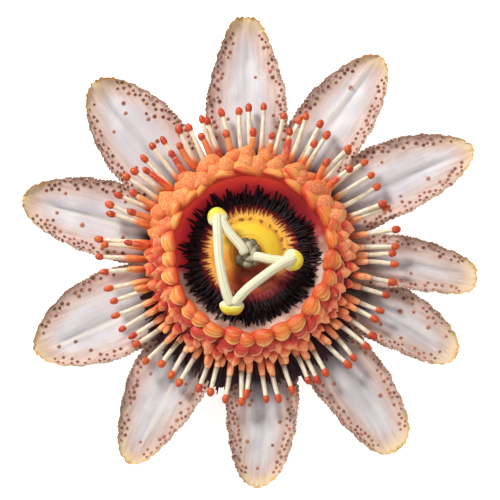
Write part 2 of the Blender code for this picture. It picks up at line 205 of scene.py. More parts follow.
class Value:
    """A number in a node tree. Arithmetic with it adds math nodes."""

    def __init__(self, tree, socket):
        self.tree = tree
        self.socket = socket

    def __add__(self, other):
        return self.tree.math("ADD", self, other)

    def __sub__(self, other):
        return self.tree.math("SUBTRACT", self, other)

    def __rsub__(self, other):
        return self.tree.math("SUBTRACT", other, self)

    def __mul__(self, other):
        return self.tree.math("MULTIPLY", self, other)

    def __truediv__(self, other):
        return self.tree.math("DIVIDE", self, other)

    def step(self, low, high):
        """The smooth step of the number: 0 at low and 1 at high."""
        made = self.tree.node("MapRange", {"interpolation_type": "SMOOTHSTEP"})
        for socket, value in zip(made.inputs, (self, low, high)):
            self.tree.feed(socket, value)
        return Value(self.tree, made.outputs[0])


class Nodes:
    """Builds one material's node tree. Numbers come back as Value, vectors and colours as sockets.

    A colour may be given as three display values from 0 to 255, or as four linear ones.
    """

    def __init__(self, name, roughness, subsurface=0.0, depth=0.001, specular=0.5):
        self.material = bpy.data.materials.new(name)
        self.material.use_nodes = True
        self.tree = self.material.node_tree
        self.inputs = self.tree.nodes["Principled BSDF"].inputs
        self.inputs["Roughness"].default_value = roughness
        self.inputs["Subsurface Weight"].default_value = subsurface
        self.inputs["Subsurface Scale"].default_value = depth
        self.inputs["Specular IOR Level"].default_value = specular

    def node(self, kind, settings=None, **inputs):
        """Adds a node with its settings and inputs."""
        made = self.tree.nodes.new("ShaderNode" + kind)
        for key, value in (settings or {}).items():
            setattr(made, key, value)
        for key, value in inputs.items():
            self.feed(made.inputs[key], value)
        return made

    def feed(self, socket, value):
        """Links a socket or a Value to an input, or sets the input to a constant."""
        if isinstance(value, Value):
            value = value.socket
        if isinstance(value, bpy.types.NodeSocket):
            self.tree.links.new(value, socket)
        else:
            socket.default_value = srgb(*value) if isinstance(value, tuple) and len(value) == 3 else value

    def math(self, operation, a, b=0.0):
        made = self.node("Math", {"operation": operation})
        self.feed(made.inputs[0], a)
        self.feed(made.inputs[1], b)
        return Value(self, made.outputs[0])

    def mix(self, factor, a, b):
        """Colour a where the factor is 0, and colour b where it is 1."""
        made = self.node("Mix", {"data_type": "RGBA"})
        for number, value in ((0, factor), (6, a), (7, b)):
            self.feed(made.inputs[number], value)
        return made.outputs[2]

    def coats(self, colour, *coats):
        """A colour under coats of (factor, colour), laid one over another."""
        for factor, coat in coats:
            colour = self.mix(factor, colour, coat)
        return colour

    def attributes(self, *names):
        """The mesh's numbers of these names, as a list. A name that a mesh doesn't have reads as 0."""
        made = (self.node("Attribute", {"attribute_name": name}) for name in names)
        return [Value(self, node.outputs["Fac"]) for node in made]

    def coordinates(self, kind="Object"):
        return self.node("TexCoord").outputs[kind]

    def noise(self, scale, detail, vector=None):
        if vector is None:
            vector = self.coordinates()
        return Value(self, self.node("TexNoise", Vector=vector, Scale=scale, Detail=detail).outputs["Fac"])

    def stretched_noise(self, vector, detail, x, y, z=1.0):
        """Noise whose grain is set apart for each axis."""
        made = self.node("Mapping", Vector=vector)
        made.inputs["Scale"].default_value = (x, y, z)
        return self.noise(1.0, detail, made.outputs[0])

    def cells(self, scale):
        """Distance from the middle of the nearest of many small cells."""
        made = self.node("TexVoronoi", Vector=self.coordinates(), Scale=scale)
        return Value(self, made.outputs["Distance"])

    def polar(self):
        """Distance from the flower's axis, azimuth in degrees from -180 to 180, and height."""
        split = self.node("SeparateXYZ", Vector=self.coordinates())
        x, y, z = (Value(self, output) for output in split.outputs)
        azimuth = self.math("ARCTAN2", y, x) * (180.0 / math.pi)
        return self.math("SQRT", x * x + y * y) * (1.0 / MM), azimuth, z * (1.0 / MM)

    def facing(self, azimuth, middle):
        """The cosine of the azimuth from a middle one: 1 there, and -1 on the other side of the flower."""
        return self.math("COSINE", (azimuth - middle) * (math.pi / 180.0))

    def add_painted_glow(self, colour):
        """A painted glow: light that the piece gives off though it is no lamp, as a share of a full white one.
        """
        self.feed(self.inputs["Emission Color"], colour)
        self.inputs["Emission Strength"].default_value = 1.0

    def finish(self, colour, height=None, distance=0.1, strength=1.0, roughness=None):
        """Ends the material with its colour, and with bumps of the height over a distance in millimetres."""
        self.feed(self.inputs["Base Color"], colour)
        if height is not None:
            bump = self.node("Bump", Height=height, Distance=distance * MM, Strength=strength)
            self.feed(self.inputs["Normal"], bump.outputs[0])
        if roughness is not None:
            self.feed(self.inputs["Roughness"], roughness)
        return self.material


def tepal_material():
    """Silver-grey petal skin: woven grain, pink margins, a tan rim and a cream tip. Painted shade darkens the
    creases, the near side and the roots round the ruff, near-black under it; the cream ridges are partly
    painted highlight.
    """
    m = Nodes("tepal_skin", 0.6, 0.08)
    plane = m.coordinates("UV")
    edge, along, crease, keel = m.attributes("edge", "along", "crease", "keel")
    radius, azimuth, _ = m.polar()
    broad = m.noise(130.0, 3.0, plane)
    streaks = m.stretched_noise(plane, 3.0, 1500.0, 150.0)
    weave = m.stretched_noise(plane, 2.0, 2300.0, 5200.0)
    near = m.facing(azimuth, -64.0).step(0.0, 0.7)
    # Painted shade: the ruff's shadow on the roots, reaching farther out on the near side.
    past_shade = radius - (near * 3.6 + 22.2)
    ragged = edge + m.noise(600.0, 3.0, plane) * 1.8
    margin = ragged.step(6.4, 2.4) * along.step(0.25, 0.45)
    tip = along.step(0.8, 0.99)
    skin = m.coats(
        m.mix(broad.step(0.3, 0.7), (234, 231, 231), (213, 207, 209)),
        (streaks.step(0.45, 0.75) * 0.3, (196, 190, 196)),
        (weave.step(0.4, 0.7) * 0.24, (186, 180, 184)),
        # Painted shade round the ruff, and near-black painted shade under it.
        (past_shade.step(5.0, -1.5) * 0.6, (124, 106, 120)),
        (past_shade.step(0.6, -2.2), (34, 14, 22)),
        # Painted shade in the creases' furrows; the cream ridges are partly their own colour, partly painted
        # highlight.
        (crease * 0.75, (120, 112, 124)),
        (keel * 0.7, (236, 228, 202)),
        (margin * 0.9, m.mix(streaks.step(0.35, 0.65), (226, 196, 180), (202, 166, 150))),
        # Painted shade: the near side is a little darker.
        (near * 0.14, (110, 92, 88)),
        (tip * ragged.step(4.2, 1.2) * 0.72, (238, 216, 164)),
        (ragged.step(1.75, 0.95) * 0.9, m.mix(tip, (160, 130, 104), (222, 178, 104))),
    )
    return m.finish(skin, weave * 0.3 + streaks * 0.6, 0.14, 0.7)


def wart_material():
    """Small raised warts: near-black to red-brown cores on pink skirts that fade to the petal's own skin.
    The core's colour follows the tint, which holds painted shade on the far-left side.
    """
    m = Nodes("wart_skin", 0.5, 0.05, 0.0005)
    dome, tint = m.attributes("dome", "tint")
    grain = m.noise(5200.0, 2.0)
    core = m.mix(tint, (98, 56, 46), (186, 126, 104))
    core = m.mix(grain.step(0.4, 0.7) * 0.35, core, (184, 124, 100))
    skirt = m.mix(dome.step(0.0, 0.35), (220, 196, 184), (212, 168, 150))
    return m.finish(m.mix(dome.step(0.4, 0.7), skirt, core), grain, 0.04, 0.5)


def filament_material():
    """Orange sleeve, cream stem with fine lengthwise lines, and a red-orange knob with fine mottling.
    On the near side, painted shade darkens the sleeve's root and base and the stem just past the sleeve,
    and painted light makes the sleeve paler and gives it a painted glow.
    """
    m = Nodes("filament_skin", 0.45, 0.1, 0.0008)
    along, tint, sleeve = m.attributes("along", "tint", "sleeve")
    _, azimuth, _ = m.polar()
    near = m.facing(azimuth, -72.0).step(-0.15, 0.6)
    lines = m.stretched_noise(m.coordinates("UV"), 2.0, 9.0, 0.7)
    speckle = m.noise(2600.0, 3.0)
    pale = m.noise(1700.0, 2.0)
    past = along - sleeve
    # A red base to the sleeve, stronger on the near side as painted shade.
    base = (sleeve - along).step(0.04, 0.2) * (near * 0.45 + 0.25)
    cuff = m.coats(
        m.mix(tint.step(0.3, 0.7), (252, 180, 108), (244, 138, 70)),
        (tint.step(0.86, 0.94), (220, 72, 40)),
        # Painted light: paler peach sleeves on the near side.
        (near * 0.75, (255, 184, 138)),
        (lines.step(0.5, 0.7) * 0.45, (255, 202, 138)),
        (base, (232, 84, 48)),
        # Painted shade: near-black maroon sleeve roots on the near side.
        (along.step(0.3, 0.08), m.mix(near, (234, 110, 56), (120, 20, 26))),
    )
    # Painted glow on the near side's sleeves.
    painted_sleeve_glow = near * past.step(0.01, -0.01) * along.step(0.12, 0.34)
    m.add_painted_glow(m.mix(painted_sleeve_glow, BLACK, (0.17, 0.045, 0.022, 1.0)))
    cream = m.mix(lines.step(0.35, 0.7), (252, 244, 222), (228, 206, 168))
    # Painted shade on the near side's stems, just past the sleeve.
    cream = m.mix(near * past.step(0.22, 0.0) * 0.55, cream, (120, 88, 78))
    blur = near * -0.05 + 0.07
    edge = past.step(-0.02, 0.01) * past.step(0.04, 0.01) * near
    on_knob = along.step(0.86, 0.9)
    colour = m.coats(
        m.mix(past.step(blur, blur * -1.0), cream, cuff),
        (edge * 0.6, (150, 84, 50)),
        (along.step(0.76, 0.88) * 0.8, (236, 158, 92)),
        (along.step(0.865, 0.9), m.mix(tint, (226, 96, 40), (196, 56, 30))),
        (speckle.step(0.42, 0.7) * 0.45 * on_knob, (150, 36, 24)),
        (pale.step(0.5, 0.75) * 0.5 * on_knob, (244, 140, 66)),
    )
    return m.finish(colour, lines + speckle * on_knob, 0.06, 0.5)


def ruff_material():
    """Waxy orange flesh with pale lips, deep red shells, red feet, and peach grains where frosted.
    Ridges are painted pale as painted highlight and creases dark as painted shade, and the red inner
    flanks are partly painted shade. On the near side the feet are painted near-black as painted shade,
    and the frosted parts are painted paler and given a painted glow.
    """
    m = Nodes("ruff_skin", 0.5, 0.22, 0.0006, 0.4)
    foot, tint, frost, deep = m.attributes("foot", "tint", "frost", "deep")
    ridge, lip, inner = m.attributes("ridge", "lip", "inner")
    _, azimuth, height = m.polar()
    near = m.facing(azimuth, -62.0).step(-0.3, 0.6)
    lines = m.stretched_noise(m.coordinates("UV"), 2.0, 7.0, 0.8)
    cloud = m.noise(520.0, 2.0)
    grains = m.cells(3300.0)
    bright = m.mix(near, (250, 158, 66), (237, 122, 44))
    strong = m.mix(near, (242, 124, 52), (226, 86, 38))
    blush = m.mix(cloud.step(0.4, 0.6), (216, 74, 44), (190, 42, 36))
    # Painted shade: near-black feet on the near side, darkest low down.
    painted_near_shade = m.mix(height.step(9.4, 12.4), (58, 6, 14), (132, 16, 26))
    colour = m.coats(
        m.mix(tint, bright, strong),
        (cloud.step(0.45, 0.7) * 0.4, (226, 84, 44)),
        (lines.step(0.5, 0.66) * 0.6, (255, 194, 100)),
        (lines.step(0.46, 0.32) * 0.3, (214, 84, 40)),
        (deep, m.mix(cloud.step(0.35, 0.65), (214, 56, 48), (172, 28, 40))),
        # Painted light: the frost and its grains are paler on the near side.
        (frost * 0.7, m.mix(near, (226, 128, 70), (255, 172, 116))),
        (frost * (grains.step(0.5, 0.2) * 0.85), m.mix(near, (252, 206, 146), (255, 226, 176))),
        # Painted highlight on the ridges, and painted shade in the creases.
        (m.math("MAXIMUM", ridge, 0.0), (255, 206, 122)),
        (m.math("MAXIMUM", ridge * -1.0, 0.0) * 0.8, (190, 96, 36)),
        (lip, m.mix(deep, m.mix(near, (255, 196, 110), (255, 192, 114)), (250, 160, 118))),
        # Red inner flanks: partly red flesh, partly painted shade.
        (inner, m.mix(near, (214, 52, 40), (208, 48, 36))),
        # Feet: red flesh on the far side, painted shade on the near side.
        (foot, m.mix(near, blush, painted_near_shade)),
    )
    # Painted glow on the near side's frosted parts.
    m.add_painted_glow(m.mix(near * frost * (1.0 - foot), BLACK, (0.13, 0.03, 0.014, 1.0)))
    rough = m.math("MAXIMUM", frost, foot) * 0.2 + 0.48
    return m.finish(colour, frost * grains + lines * 0.5, 0.1, 0.6, rough)


def shade_fringe_material():
    """Dark maroon threads, near-black at their roots and dull red at their tips: painted shade under the
    ruff's near side.
    """
    m = Nodes("shade_fringe_skin", 0.6)
    along, tint = m.attributes("along", "tint")
    tips = m.mix(tint, (70, 20, 34), (44, 18, 32))
    colour = m.mix(along.step(0.1, 0.9), (26, 6, 12), tips)
    return m.finish(m.mix(m.noise(900.0, 2.0).step(0.5, 0.8) * 0.5, colour, (96, 34, 44)))


def cup_material():
    """Thin bowl wall that lets some light in: red on the far and left sides, pale pink on the near side.
    A painted red glow brightens the red wall, which lies in shade, and painted shade darkens its right
    side and the glow there.
    """
    m = Nodes("cup_skin", 0.6, 0.3, specular=0.25)
    _, azimuth, height = m.polar()
    blotch = m.noise(320.0, 3.0)
    streaks = m.stretched_noise(m.coordinates(), 2.0, 900.0, 900.0, 60.0)
    far = (m.facing(azimuth, 103.0) + (blotch - 0.5) * 0.4).step(-0.12, 0.1)
    right = m.facing(azimuth, 22.0).step(0.6, 0.95)
    red = m.coats(
        m.mix(height.step(7.4, 11.8), (208, 50, 56), (232, 70, 52)),
        (streaks.step(0.4, 0.7) * 0.3, (186, 56, 58)),
        # Painted shade: the red wall is darker on its right side.
        (right * 0.75, (150, 34, 42)),
    )
    pale = m.mix(blotch.step(0.35, 0.65), (222, 188, 170), (182, 134, 120))
    pale = m.mix(height.step(9.4, 11.6), pale, (206, 112, 76))
    # Painted red glow on the shaded red wall, weaker on its right side and faint on the near side.
    painted_red_glow = m.mix(height.step(7.4, 12.2), (0.15, 0.008, 0.012, 1.0), (0.20, 0.014, 0.010, 1.0))
    painted_red_glow = m.mix(right * 0.7, painted_red_glow, (0.03, 0.004, 0.004, 1.0))
    m.add_painted_glow(m.mix(far, (0.02, 0.008, 0.008, 1.0), painted_red_glow))
    return m.finish(m.mix(far, pale, red), streaks, 0.05, 0.4)


DOT_SPACING = 15.8  # degrees from one brown dot on the disc to the next
DOT_RADIUS = 7.1  # distance of the dots from the axis


def disc_material():
    """Yellow disc: rings round the core, a dome and rim painted brighter towards the upper right as painted
    light, a groove with brown dots, an orange rim, and a dark crimson near side that is partly painted shade.
    """
    m = Nodes("disc_skin", 0.5, 0.2, specular=0.3)
    true_radius, azimuth, _ = m.polar()
    mottle = m.noise(420.0, 4.0)
    fine = m.noise(1500.0, 3.0)
    radius = true_radius + (mottle - 0.5) * 0.5
    # Painted light: the dome and rim are brighter towards the upper right.
    painted_lit_side = m.facing(azimuth, 55.0).step(-1.0, 0.2)
    rings = m.math("SINE", radius * 9.0).step(0.2, 0.9) * radius.step(4.6, 3.4)
    groove = radius.step(6.2, 6.6) * radius.step(7.2, 6.8)
    right = azimuth.step(-8.0, 8.0) * azimuth.step(62.0, 44.0)
    shifted = azimuth + (mottle - 0.5) * 18.0
    place = m.math("ABSOLUTE", m.math("FRACT", shifted / DOT_SPACING) - 0.5)
    gap = place * (DOT_SPACING * math.pi / 180.0 * DOT_RADIUS)
    offset = radius - 7.0
    reach = m.math("SQRT", gap * gap + offset * offset) + (fine - 0.5) * 0.6
    dots = reach.step(0.55, 0.1) * (azimuth.step(-2.0, 6.0) * azimuth.step(140.0, 100.0))
    # Dark crimson towards the near side: partly a red tint, partly painted shade.
    low = m.facing(azimuth, -76.0).step(0.3, 0.85) * radius.step(1.5, 3.4)
    dome = m.mix(painted_lit_side, (234, 152, 48), (252, 214, 58))
    colour = m.coats(
        m.mix(radius.step(2.2, 3.6), (232, 158, 44), dome),
        (rings * 0.3, (170, 96, 30)),
        (radius.step(5.7, 6.4), m.mix(painted_lit_side, (246, 166, 52), (252, 196, 64))),
        (mottle.step(0.45, 0.75) * 0.3, (226, 134, 36)),
        (fine.step(0.5, 0.75) * 0.25, (255, 232, 120)),
        (groove * (right * 0.45 + 0.1), (186, 96, 40)),
        (dots * 0.85, (120, 72, 26)),
        (true_radius.step(7.2, 8.0) * 0.85, (252, 184, 84)),
        (low * 0.9, m.mix(mottle.step(0.4, 0.6), (116, 8, 26), (158, 30, 32))),
    )
    return m.finish(colour, mottle + fine * 0.4, 0.12, 0.5, mottle * 0.2 + 0.42)


def spine_material():
    """Near-black purple spines; the thin threads next to the disc are dark magenta."""
    m = Nodes("spine_skin", 0.55, specular=0.25)
    along, tint = m.attributes("along", "tint")
    radius, _, _ = m.polar()
    colour = m.coats(
        m.mix(tint, (14, 4, 8), (34, 8, 18)),
        (radius.step(10.2, 8.8), (112, 14, 24)),
        (along.step(0.5, 1.0) * 0.6, (44, 2, 8)),
        (m.noise(1500.0, 2.0).step(0.6, 0.8) * 0.3, (66, 26, 44)),
    )
    return m.finish(colour)


def bed_material():
    """The bed under the spines: yellow-orange next to the disc, red-orange beyond, dark red on the near side
    that is partly painted shade, and near-black farther out as painted shade under the spines.
    """
    m = Nodes("bed_skin", 0.6, 0.1)
    radius, azimuth, _ = m.polar()
    grain = m.noise(900.0, 3.0)
    radius = radius + (grain - 0.5) * 1.2
    near = m.facing(azimuth, -64.0).step(0.3, 0.85)
    colour = m.coats(
        m.mix(radius.step(8.3, 9.5), (252, 184, 84), (206, 78, 52)),
        # Dark red on the near side, partly painted shade; near-black under the spines, painted shade.
        (near, m.mix(grain.step(0.4, 0.6), (112, 14, 24), (150, 30, 30))),
        (radius.step(9.4, 10.5), (20, 6, 12)),
    )
    return m.finish(colour, grain, 0.08, 0.5)


def ovary_material():
    """Folded lobes from dark olive-brown to silver-grey, mottled. Painted shade makes the lobes' feet and
    creases near-black, and a painted highlight makes the tops of the silver lobes pale.
    """
    m = Nodes("ovary_skin", 0.55, specular=0.3)
    mottle = m.noise(900.0, 4.0)
    crest, tone = m.attributes("crest", "tone")
    dark = m.mix(mottle.step(0.35, 0.65), (96, 76, 46), (54, 38, 22))
    light = m.mix(mottle.step(0.35, 0.65), (184, 176, 140), (122, 112, 80))
    colour = m.coats(
        m.mix(tone, dark, light),
        # Painted highlight on the silver lobes' tops, and painted shade at the lobes' feet and in their
        # creases.
        (crest.step(0.7, 1.0) * (tone * 0.7), (212, 206, 172)),
        (crest.step(0.55, 0.2), (34, 24, 16)),
    )
    return m.finish(colour, mottle, 0.12, 0.6)


def style_material():
    """Cream tube with soft lengthwise ribs and a thin pale green line along the middle of its upper side."""
    m = Nodes("style_skin", 0.5, 0.2)
    turn, rib, green, tail = m.attributes("turn", "rib", "green", "tail")
    blotch = m.noise(500.0, 3.0)
    colour = m.coats(
        m.mix(rib, (236, 228, 186), (250, 247, 220)),
        (green * blotch.step(0.25, 0.55) * 0.6, (208, 216, 158)),
        (turn.step(0.35, -0.2) * 0.6, (232, 200, 166)),
        (tail * 0.7, (176, 174, 132)),
    )
    return m.finish(colour, rib, 0.06, 0.5)


def stigma_material():
    """Matt yellow cap, finely grained, cream-green where it folds up round the tubes."""
    m = Nodes("stigma_skin", 0.6, 0.15)
    (pale,) = m.attributes("pale")
    grains = m.cells(2600.0)
    colour = m.coats(
        m.mix(m.noise(500.0, 3.0).step(0.35, 0.7), (250, 234, 84), (236, 206, 52)),
        (grains.step(0.6, 0.2) * 0.3, (212, 176, 34)),
        (pale, (250, 245, 200)),
    )
    return m.finish(colour, grains, 0.06, 0.6)


def receptacle_material():
    """Yellow-green plant flesh with paler mottling."""
    m = Nodes("receptacle_skin", 0.5, 0.1)
    mottle = m.noise(380.0, 4.0)
    return m.finish(m.mix(mottle.step(0.35, 0.65), (158, 172, 92), (124, 146, 70)), mottle, 0.15, 0.4)


# ------------------------------------------------------------------------------------------------
# Tepals

BLADE_ROOT = 6.2  # distance of a blade's root from the axis
BLADE_BASE = 4.05  # height of a blade's middle at its root
BLADE_RISE = 1.9  # how much higher its middle is at the tip
ROLL = 0.62  # how far a rolled blade's margins go up and down
HALF_SPACING = math.tan(math.radians(16.35))  # slope of half the angle between two tepals
CLAW_SLOPE = 0.42  # half-width over distance from the axis, next to the root
TAPER = 20.0  # length of the narrowing end
BLADE_ROWS = 250
BLADE_COLUMNS = 34

# root and tip: azimuths. reach: distance of the tip from the axis. widest: half-width. point: power of the
# narrowing end, and blunt: how much that power falls towards the tip. roll: which side is rolled up. lift:
# how far the blade is lifted. crease: sideways place of the crease, with its furrow's depth and its ridge's
# height. before and after: numbers of warts on the two sides of the midline.
Tepal = namedtuple("Tepal", "root tip reach widest point blunt roll lift crease furrow ridge before after")
TEPALS = [
    Tepal(*row)
    for row in (
        (91.0, 90.8, 47.88, 8.3, 0.90, 0.95, 0.0, 0.72, 0.0, 0.15, 0.10, 34, 34),
        (60.0, 56.8, 47.6, 7.6, 0.56, 0.0, -1.0, 0.20, 0.6, 0.25, 0.45, 38, 34),
        (33.0, 26.0, 49.1, 7.8, 0.60, 0.0, -1.0, 0.12, -0.3, 0.45, 0.15, 44, 34),
        (3.0, 353.6, 44.8, 5.5, 0.30, 0.0, -1.0, 0.10, 0.4, 0.40, 0.20, 24, 26),
        (342.0, 333.6, 45.2, 6.5, 0.42, 0.0, -1.0, -0.15, -0.5, 0.35, 0.25, 32, 30),
        (312.0, 306.8, 48.3, 7.1, 0.36, 0.0, -1.0, -0.18, 0.3, 0.20, 0.15, 42, 36),
        (279.0, 272.1, 46.05, 7.3, 0.45, 0.0, 0.0, -0.60, 0.2, 0.15, 0.15, 46, 42),
        (234.0, 240.4, 47.5, 7.8, 0.78, 0.6, 1.0, 0.0, 0.5, 0.25, 0.45, 34, 34),
        (202.0, 204.9, 46.1, 9.4, 0.62, 0.0, 1.0, 0.05, 0.3, 0.55, 0.55, 22, 30),
        (164.5, 165.8, 45.8, 8.0, 0.52, 0.0, 1.0, 0.05, -0.3, 0.60, 0.30, 34, 44),
        (134.0, 131.4, 46.4, 9.1, 0.58, 0.0, 1.0, 0.10, 0.2, 0.50, 0.20, 44, 38),
    )
]


def blade(number, share, across, face):
    """Points of a tepal from the share of its length, the place across it and its face.

    The place across runs from -1 to 1, and the face is 1 for the upper and -1 for the lower one. Across
    it, the height is the roll, plus a curl that lifts only the outer part of each margin, plus a crease:
    a ridge beside a furrow. Along it, the blade rises with the square of the distance. Small round
    scallops run along the margin and the tip. Returns x, y, height, the half-width, the sideways distance
    from the midline, how dark the furrow is painted, which is painted shade, and how pale the ridge is
    painted, which is partly painted highlight.
    """
    row = TEPALS[number - 1]
    seed = number * 7
    radius = BLADE_ROOT + share * (row.reach - BLADE_ROOT)
    taper = np.minimum((row.reach - radius) / TAPER, 1.0)
    body = row.widest * (taper * (2.0 - taper)) ** (row.point + row.blunt * (taper - 0.45))
    half_width = (body**-5.0 + (CLAW_SLOPE * radius) ** -5.0) ** -0.2
    side = np.sign(across)
    out = np.abs(across)
    arc = radius + 0.9 * row.reach * (1.0 - taper) ** 3
    scallop = 0.3 * np.abs(np.sin(arc * 3.0 + wobble(arc, seed + 1) * 0.8 + side * 1.3)) - 0.2
    broad = 0.18 * wobble(arc * 0.55 + side * 9.0, seed + 2)
    margin = (scallop * smoothstep(0.86, 1.0, out) + broad * out**3) * smoothstep(0.3, 0.5, share)
    lateral = across * (half_width + margin)
    rolled = ROLL * row.roll * lateral / (radius * HALF_SPACING)
    curl = 1.9 * smoothstep(0.36, 0.7, share) * out**5 * (half_width / row.widest) ** 0.5
    curl = curl * (1.0 + 0.25 * wobble(radius * 0.35 + side * 5.0, seed + 3))
    curl = curl + 0.9 * smoothstep(0.88, 1.0, share) ** 2
    window = smoothstep(0.2, 0.4, share) * smoothstep(0.97, 0.8, share)
    beside = lateral - row.crease - 0.35 * wobble(radius * 0.12, seed + 5)
    fold = row.ridge * bell(beside, 0.55, 0.45) - row.furrow * bell(beside, 0.0, 0.5)
    fold = (fold - 0.25 * bell(beside, 0.0, 1.8)) * window
    swell = 0.2 * wobble(radius * 0.22 + lateral * 0.25, seed + 4) * smoothstep(0.3, 0.6, share)
    swell = swell * (1.0 - out**2)
    thick = 0.3 * np.sqrt(np.clip(1.0 - across**2 * 0.94, 0.0, 1.0)) + 0.02
    height = BLADE_BASE + row.lift + BLADE_RISE * share**2 + rolled + curl + fold + swell + face * thick
    bend = (row.tip - row.root + 180.0) % 360.0 - 180.0
    azimuth = np.radians(row.root + bend * share)
    notches = 1.0 - np.abs(np.sin(lateral * 2.7 + wobble(lateral, seed + 6) * 0.6))
    x, y = rotate(radius - 0.45 * notches * smoothstep(0.95, 1.0, share), lateral, azimuth)
    # The furrow's painted shade, and the ridge's pale colour, partly painted highlight.
    dark = bell(beside, 0.0, 0.4) * window * row.furrow / 0.6
    pale = bell(beside, 0.6, 0.4) * window * row.ridge / 0.55
    return x, y, height, half_width, lateral, dark, pale


def tepal(number, material):
    """One tepal: a closed blade whose cross-section runs over the upper face and back under the lower one."""
    reach = TEPALS[number - 1].reach
    share = 0.998 * (1.0 - (1.0 - np.linspace(0.0, 1.0, BLADE_ROWS)) ** 1.25)[:, None]
    half = np.sin(np.linspace(-math.pi / 2, math.pi / 2, BLADE_COLUMNS))
    across = np.concatenate((half, half[::-1]))[None, :]
    face = np.concatenate((np.ones(BLADE_COLUMNS), -np.ones(BLADE_COLUMNS)))[None, :]
    x, y, height, half_width, lateral, dark, pale = blade(number, share, across, face)
    radius = BLADE_ROOT + share * (reach - BLADE_ROOT)
    # crease carries the furrow's painted shade, and keel the ridge's pale colour, partly painted highlight.
    values = {
        "edge": np.minimum((1.0 - np.abs(across)) * half_width, (reach - radius) * 0.8),
        "crease": dark * (face > 0.0),
        "keel": pale * (face > 0.0),
        "along": share,
    }
    points = np.stack(np.broadcast_arrays(x, y, height), axis=-1)
    plane = ((lateral + number * 40.0) * MM, radius * MM)
    add_piece(f"tepal_blade_{number:02d}", points, material, [f"tepal_{number:02d}"], values, plane)


WART_SPACING = 0.8  # least distance between two warts
WART_TRIES = 3000
WART_START = 23.0  # distance of the innermost warts from the axis
WART_INSETS = (0.5, 0.6, 0.7, 1.2, 1.4, 1.9)  # distances from the margin
LONE_WARTS = 0.03  # share of warts that stand farther in
# Painted shade on the warts and on the shells' red inner flanks is strongest towards this side.
FAR_LEFT = 125.0  # azimuth of the flower's far left side


def wart_places(number):
    """Seeded places of a tepal's warts, kept apart from each other.

    Each row holds the share of the length, the place across, the distances from the axis and from the midline,
    and the distance from the margin.
    """
    draw = random.Random(500 + number)
    tepal_row = TEPALS[number - 1]
    rows = []
    for side, wanted in ((-1.0, tepal_row.before), (1.0, tepal_row.after)):
        placed = tries = 0
        while placed < wanted and tries < WART_TRIES:
            tries += 1
            radius = draw.uniform(WART_START, tepal_row.reach - 3.0)
            inset = draw.choice(WART_INSETS) + draw.uniform(-0.2, 0.25)
            if draw.random() < LONE_WARTS:
                inset = draw.uniform(2.5, tepal_row.widest * 0.7)
            share = (radius - BLADE_ROOT) / (tepal_row.reach - BLADE_ROOT)
            half_width = float(blade(number, np.array([share]), np.array([0.5]), np.array([1.0]))[3][0])
            if inset > half_width * 0.9:
                continue
            across = side * (1.0 - inset / half_width)
            spot = (radius, across * half_width)
            if all(math.hypot(spot[0] - row[2], spot[1] - row[3]) > WART_SPACING for row in rows):
                rows.append((share, across, *spot, inset))
                placed += 1
    return np.array(rows)


# A wart's outline from its foot to its top: distance from its middle over its size, height over the skin, and
# how much of its core's colour it has.
WART = np.array(
    (
        (0.02, -0.2, 0.0),
        (1.5, -0.16, 0.0),
        (1.75, -0.03, 0.0),
        (1.35, 0.05, 0.3),
        (1.0, 0.09, 0.6),
        (0.78, 0.2, 1.0),
        (0.42, 0.27, 1.0),
        (0.03, 0.29, 1.0),
    )
)
WART_SIDES = 7


def warts(material):
    """Low domes on the tepals: a skirt at skin level that rises to a rounded core.

    Each is turned about the skin's normal, which is the cross product of two short steps on the skin.
    """
    tilt = 0.002
    centres, normals, sizes, tints = [], [], [], []
    draw = np.random.default_rng(77)
    for number in range(1, len(TEPALS) + 1):
        share, across, _, _, inset = wart_places(number).T
        middle = np.stack(blade(number, share, across, 1.0)[:3], axis=-1)
        along = np.stack(blade(number, share + tilt, across, 1.0)[:3], axis=-1) - middle
        sideways = np.stack(blade(number, share, across + tilt, 1.0)[:3], axis=-1) - middle
        normal = np.cross(along, sideways)
        normals.append(unit(normal * np.sign(normal[:, 2:])))
        centres.append(middle)
        fade = smoothstep(1.0, 0.85, share) * draw.uniform(0.75, 1.15, len(share))
        sizes.append((0.26 + 0.13 * draw.random(len(share))) * (0.6 + 0.4 * fade))
        azimuth = np.arctan2(middle[:, 1], middle[:, 0])
        # Painted shade: warts on the far-left side, where the margins curl up away from the light, get darker
        # cores.
        shaded = np.cos(azimuth - math.radians(FAR_LEFT)) * 0.2
        tints.append(np.clip(draw.uniform(0.0, 1.0, len(share)) + 0.12 * inset - 0.2 - shaded, 0.0, 1.0))
    centre, normal = np.concatenate(centres), np.concatenate(normals)
    size, tint = np.concatenate(sizes), np.concatenate(tints)
    first = unit(np.cross(normal, np.array([1.0, 0.3, 0.0])))
    second = np.cross(normal, first)
    reach, rise, core = WART.T[:, :, None]
    turn = around(WART_SIDES)[:, None]
    ring = np.cos(turn) * first[:, None, None] + np.sin(turn) * second[:, None, None]
    points = centre[:, None, None] + size[:, None, None, None] * reach[..., None] * ring
    points = points + rise[..., None] * normal[:, None, None]
    values = {"dome": core, "tint": tint[:, None, None]}
    add_piece("tepal_warts", points, material, (), values)


# ------------------------------------------------------------------------------------------------
# Turned pieces

RING_SHIFT = -1.1  # the rim and its ring of beads stand this far off the axis, towards the near side


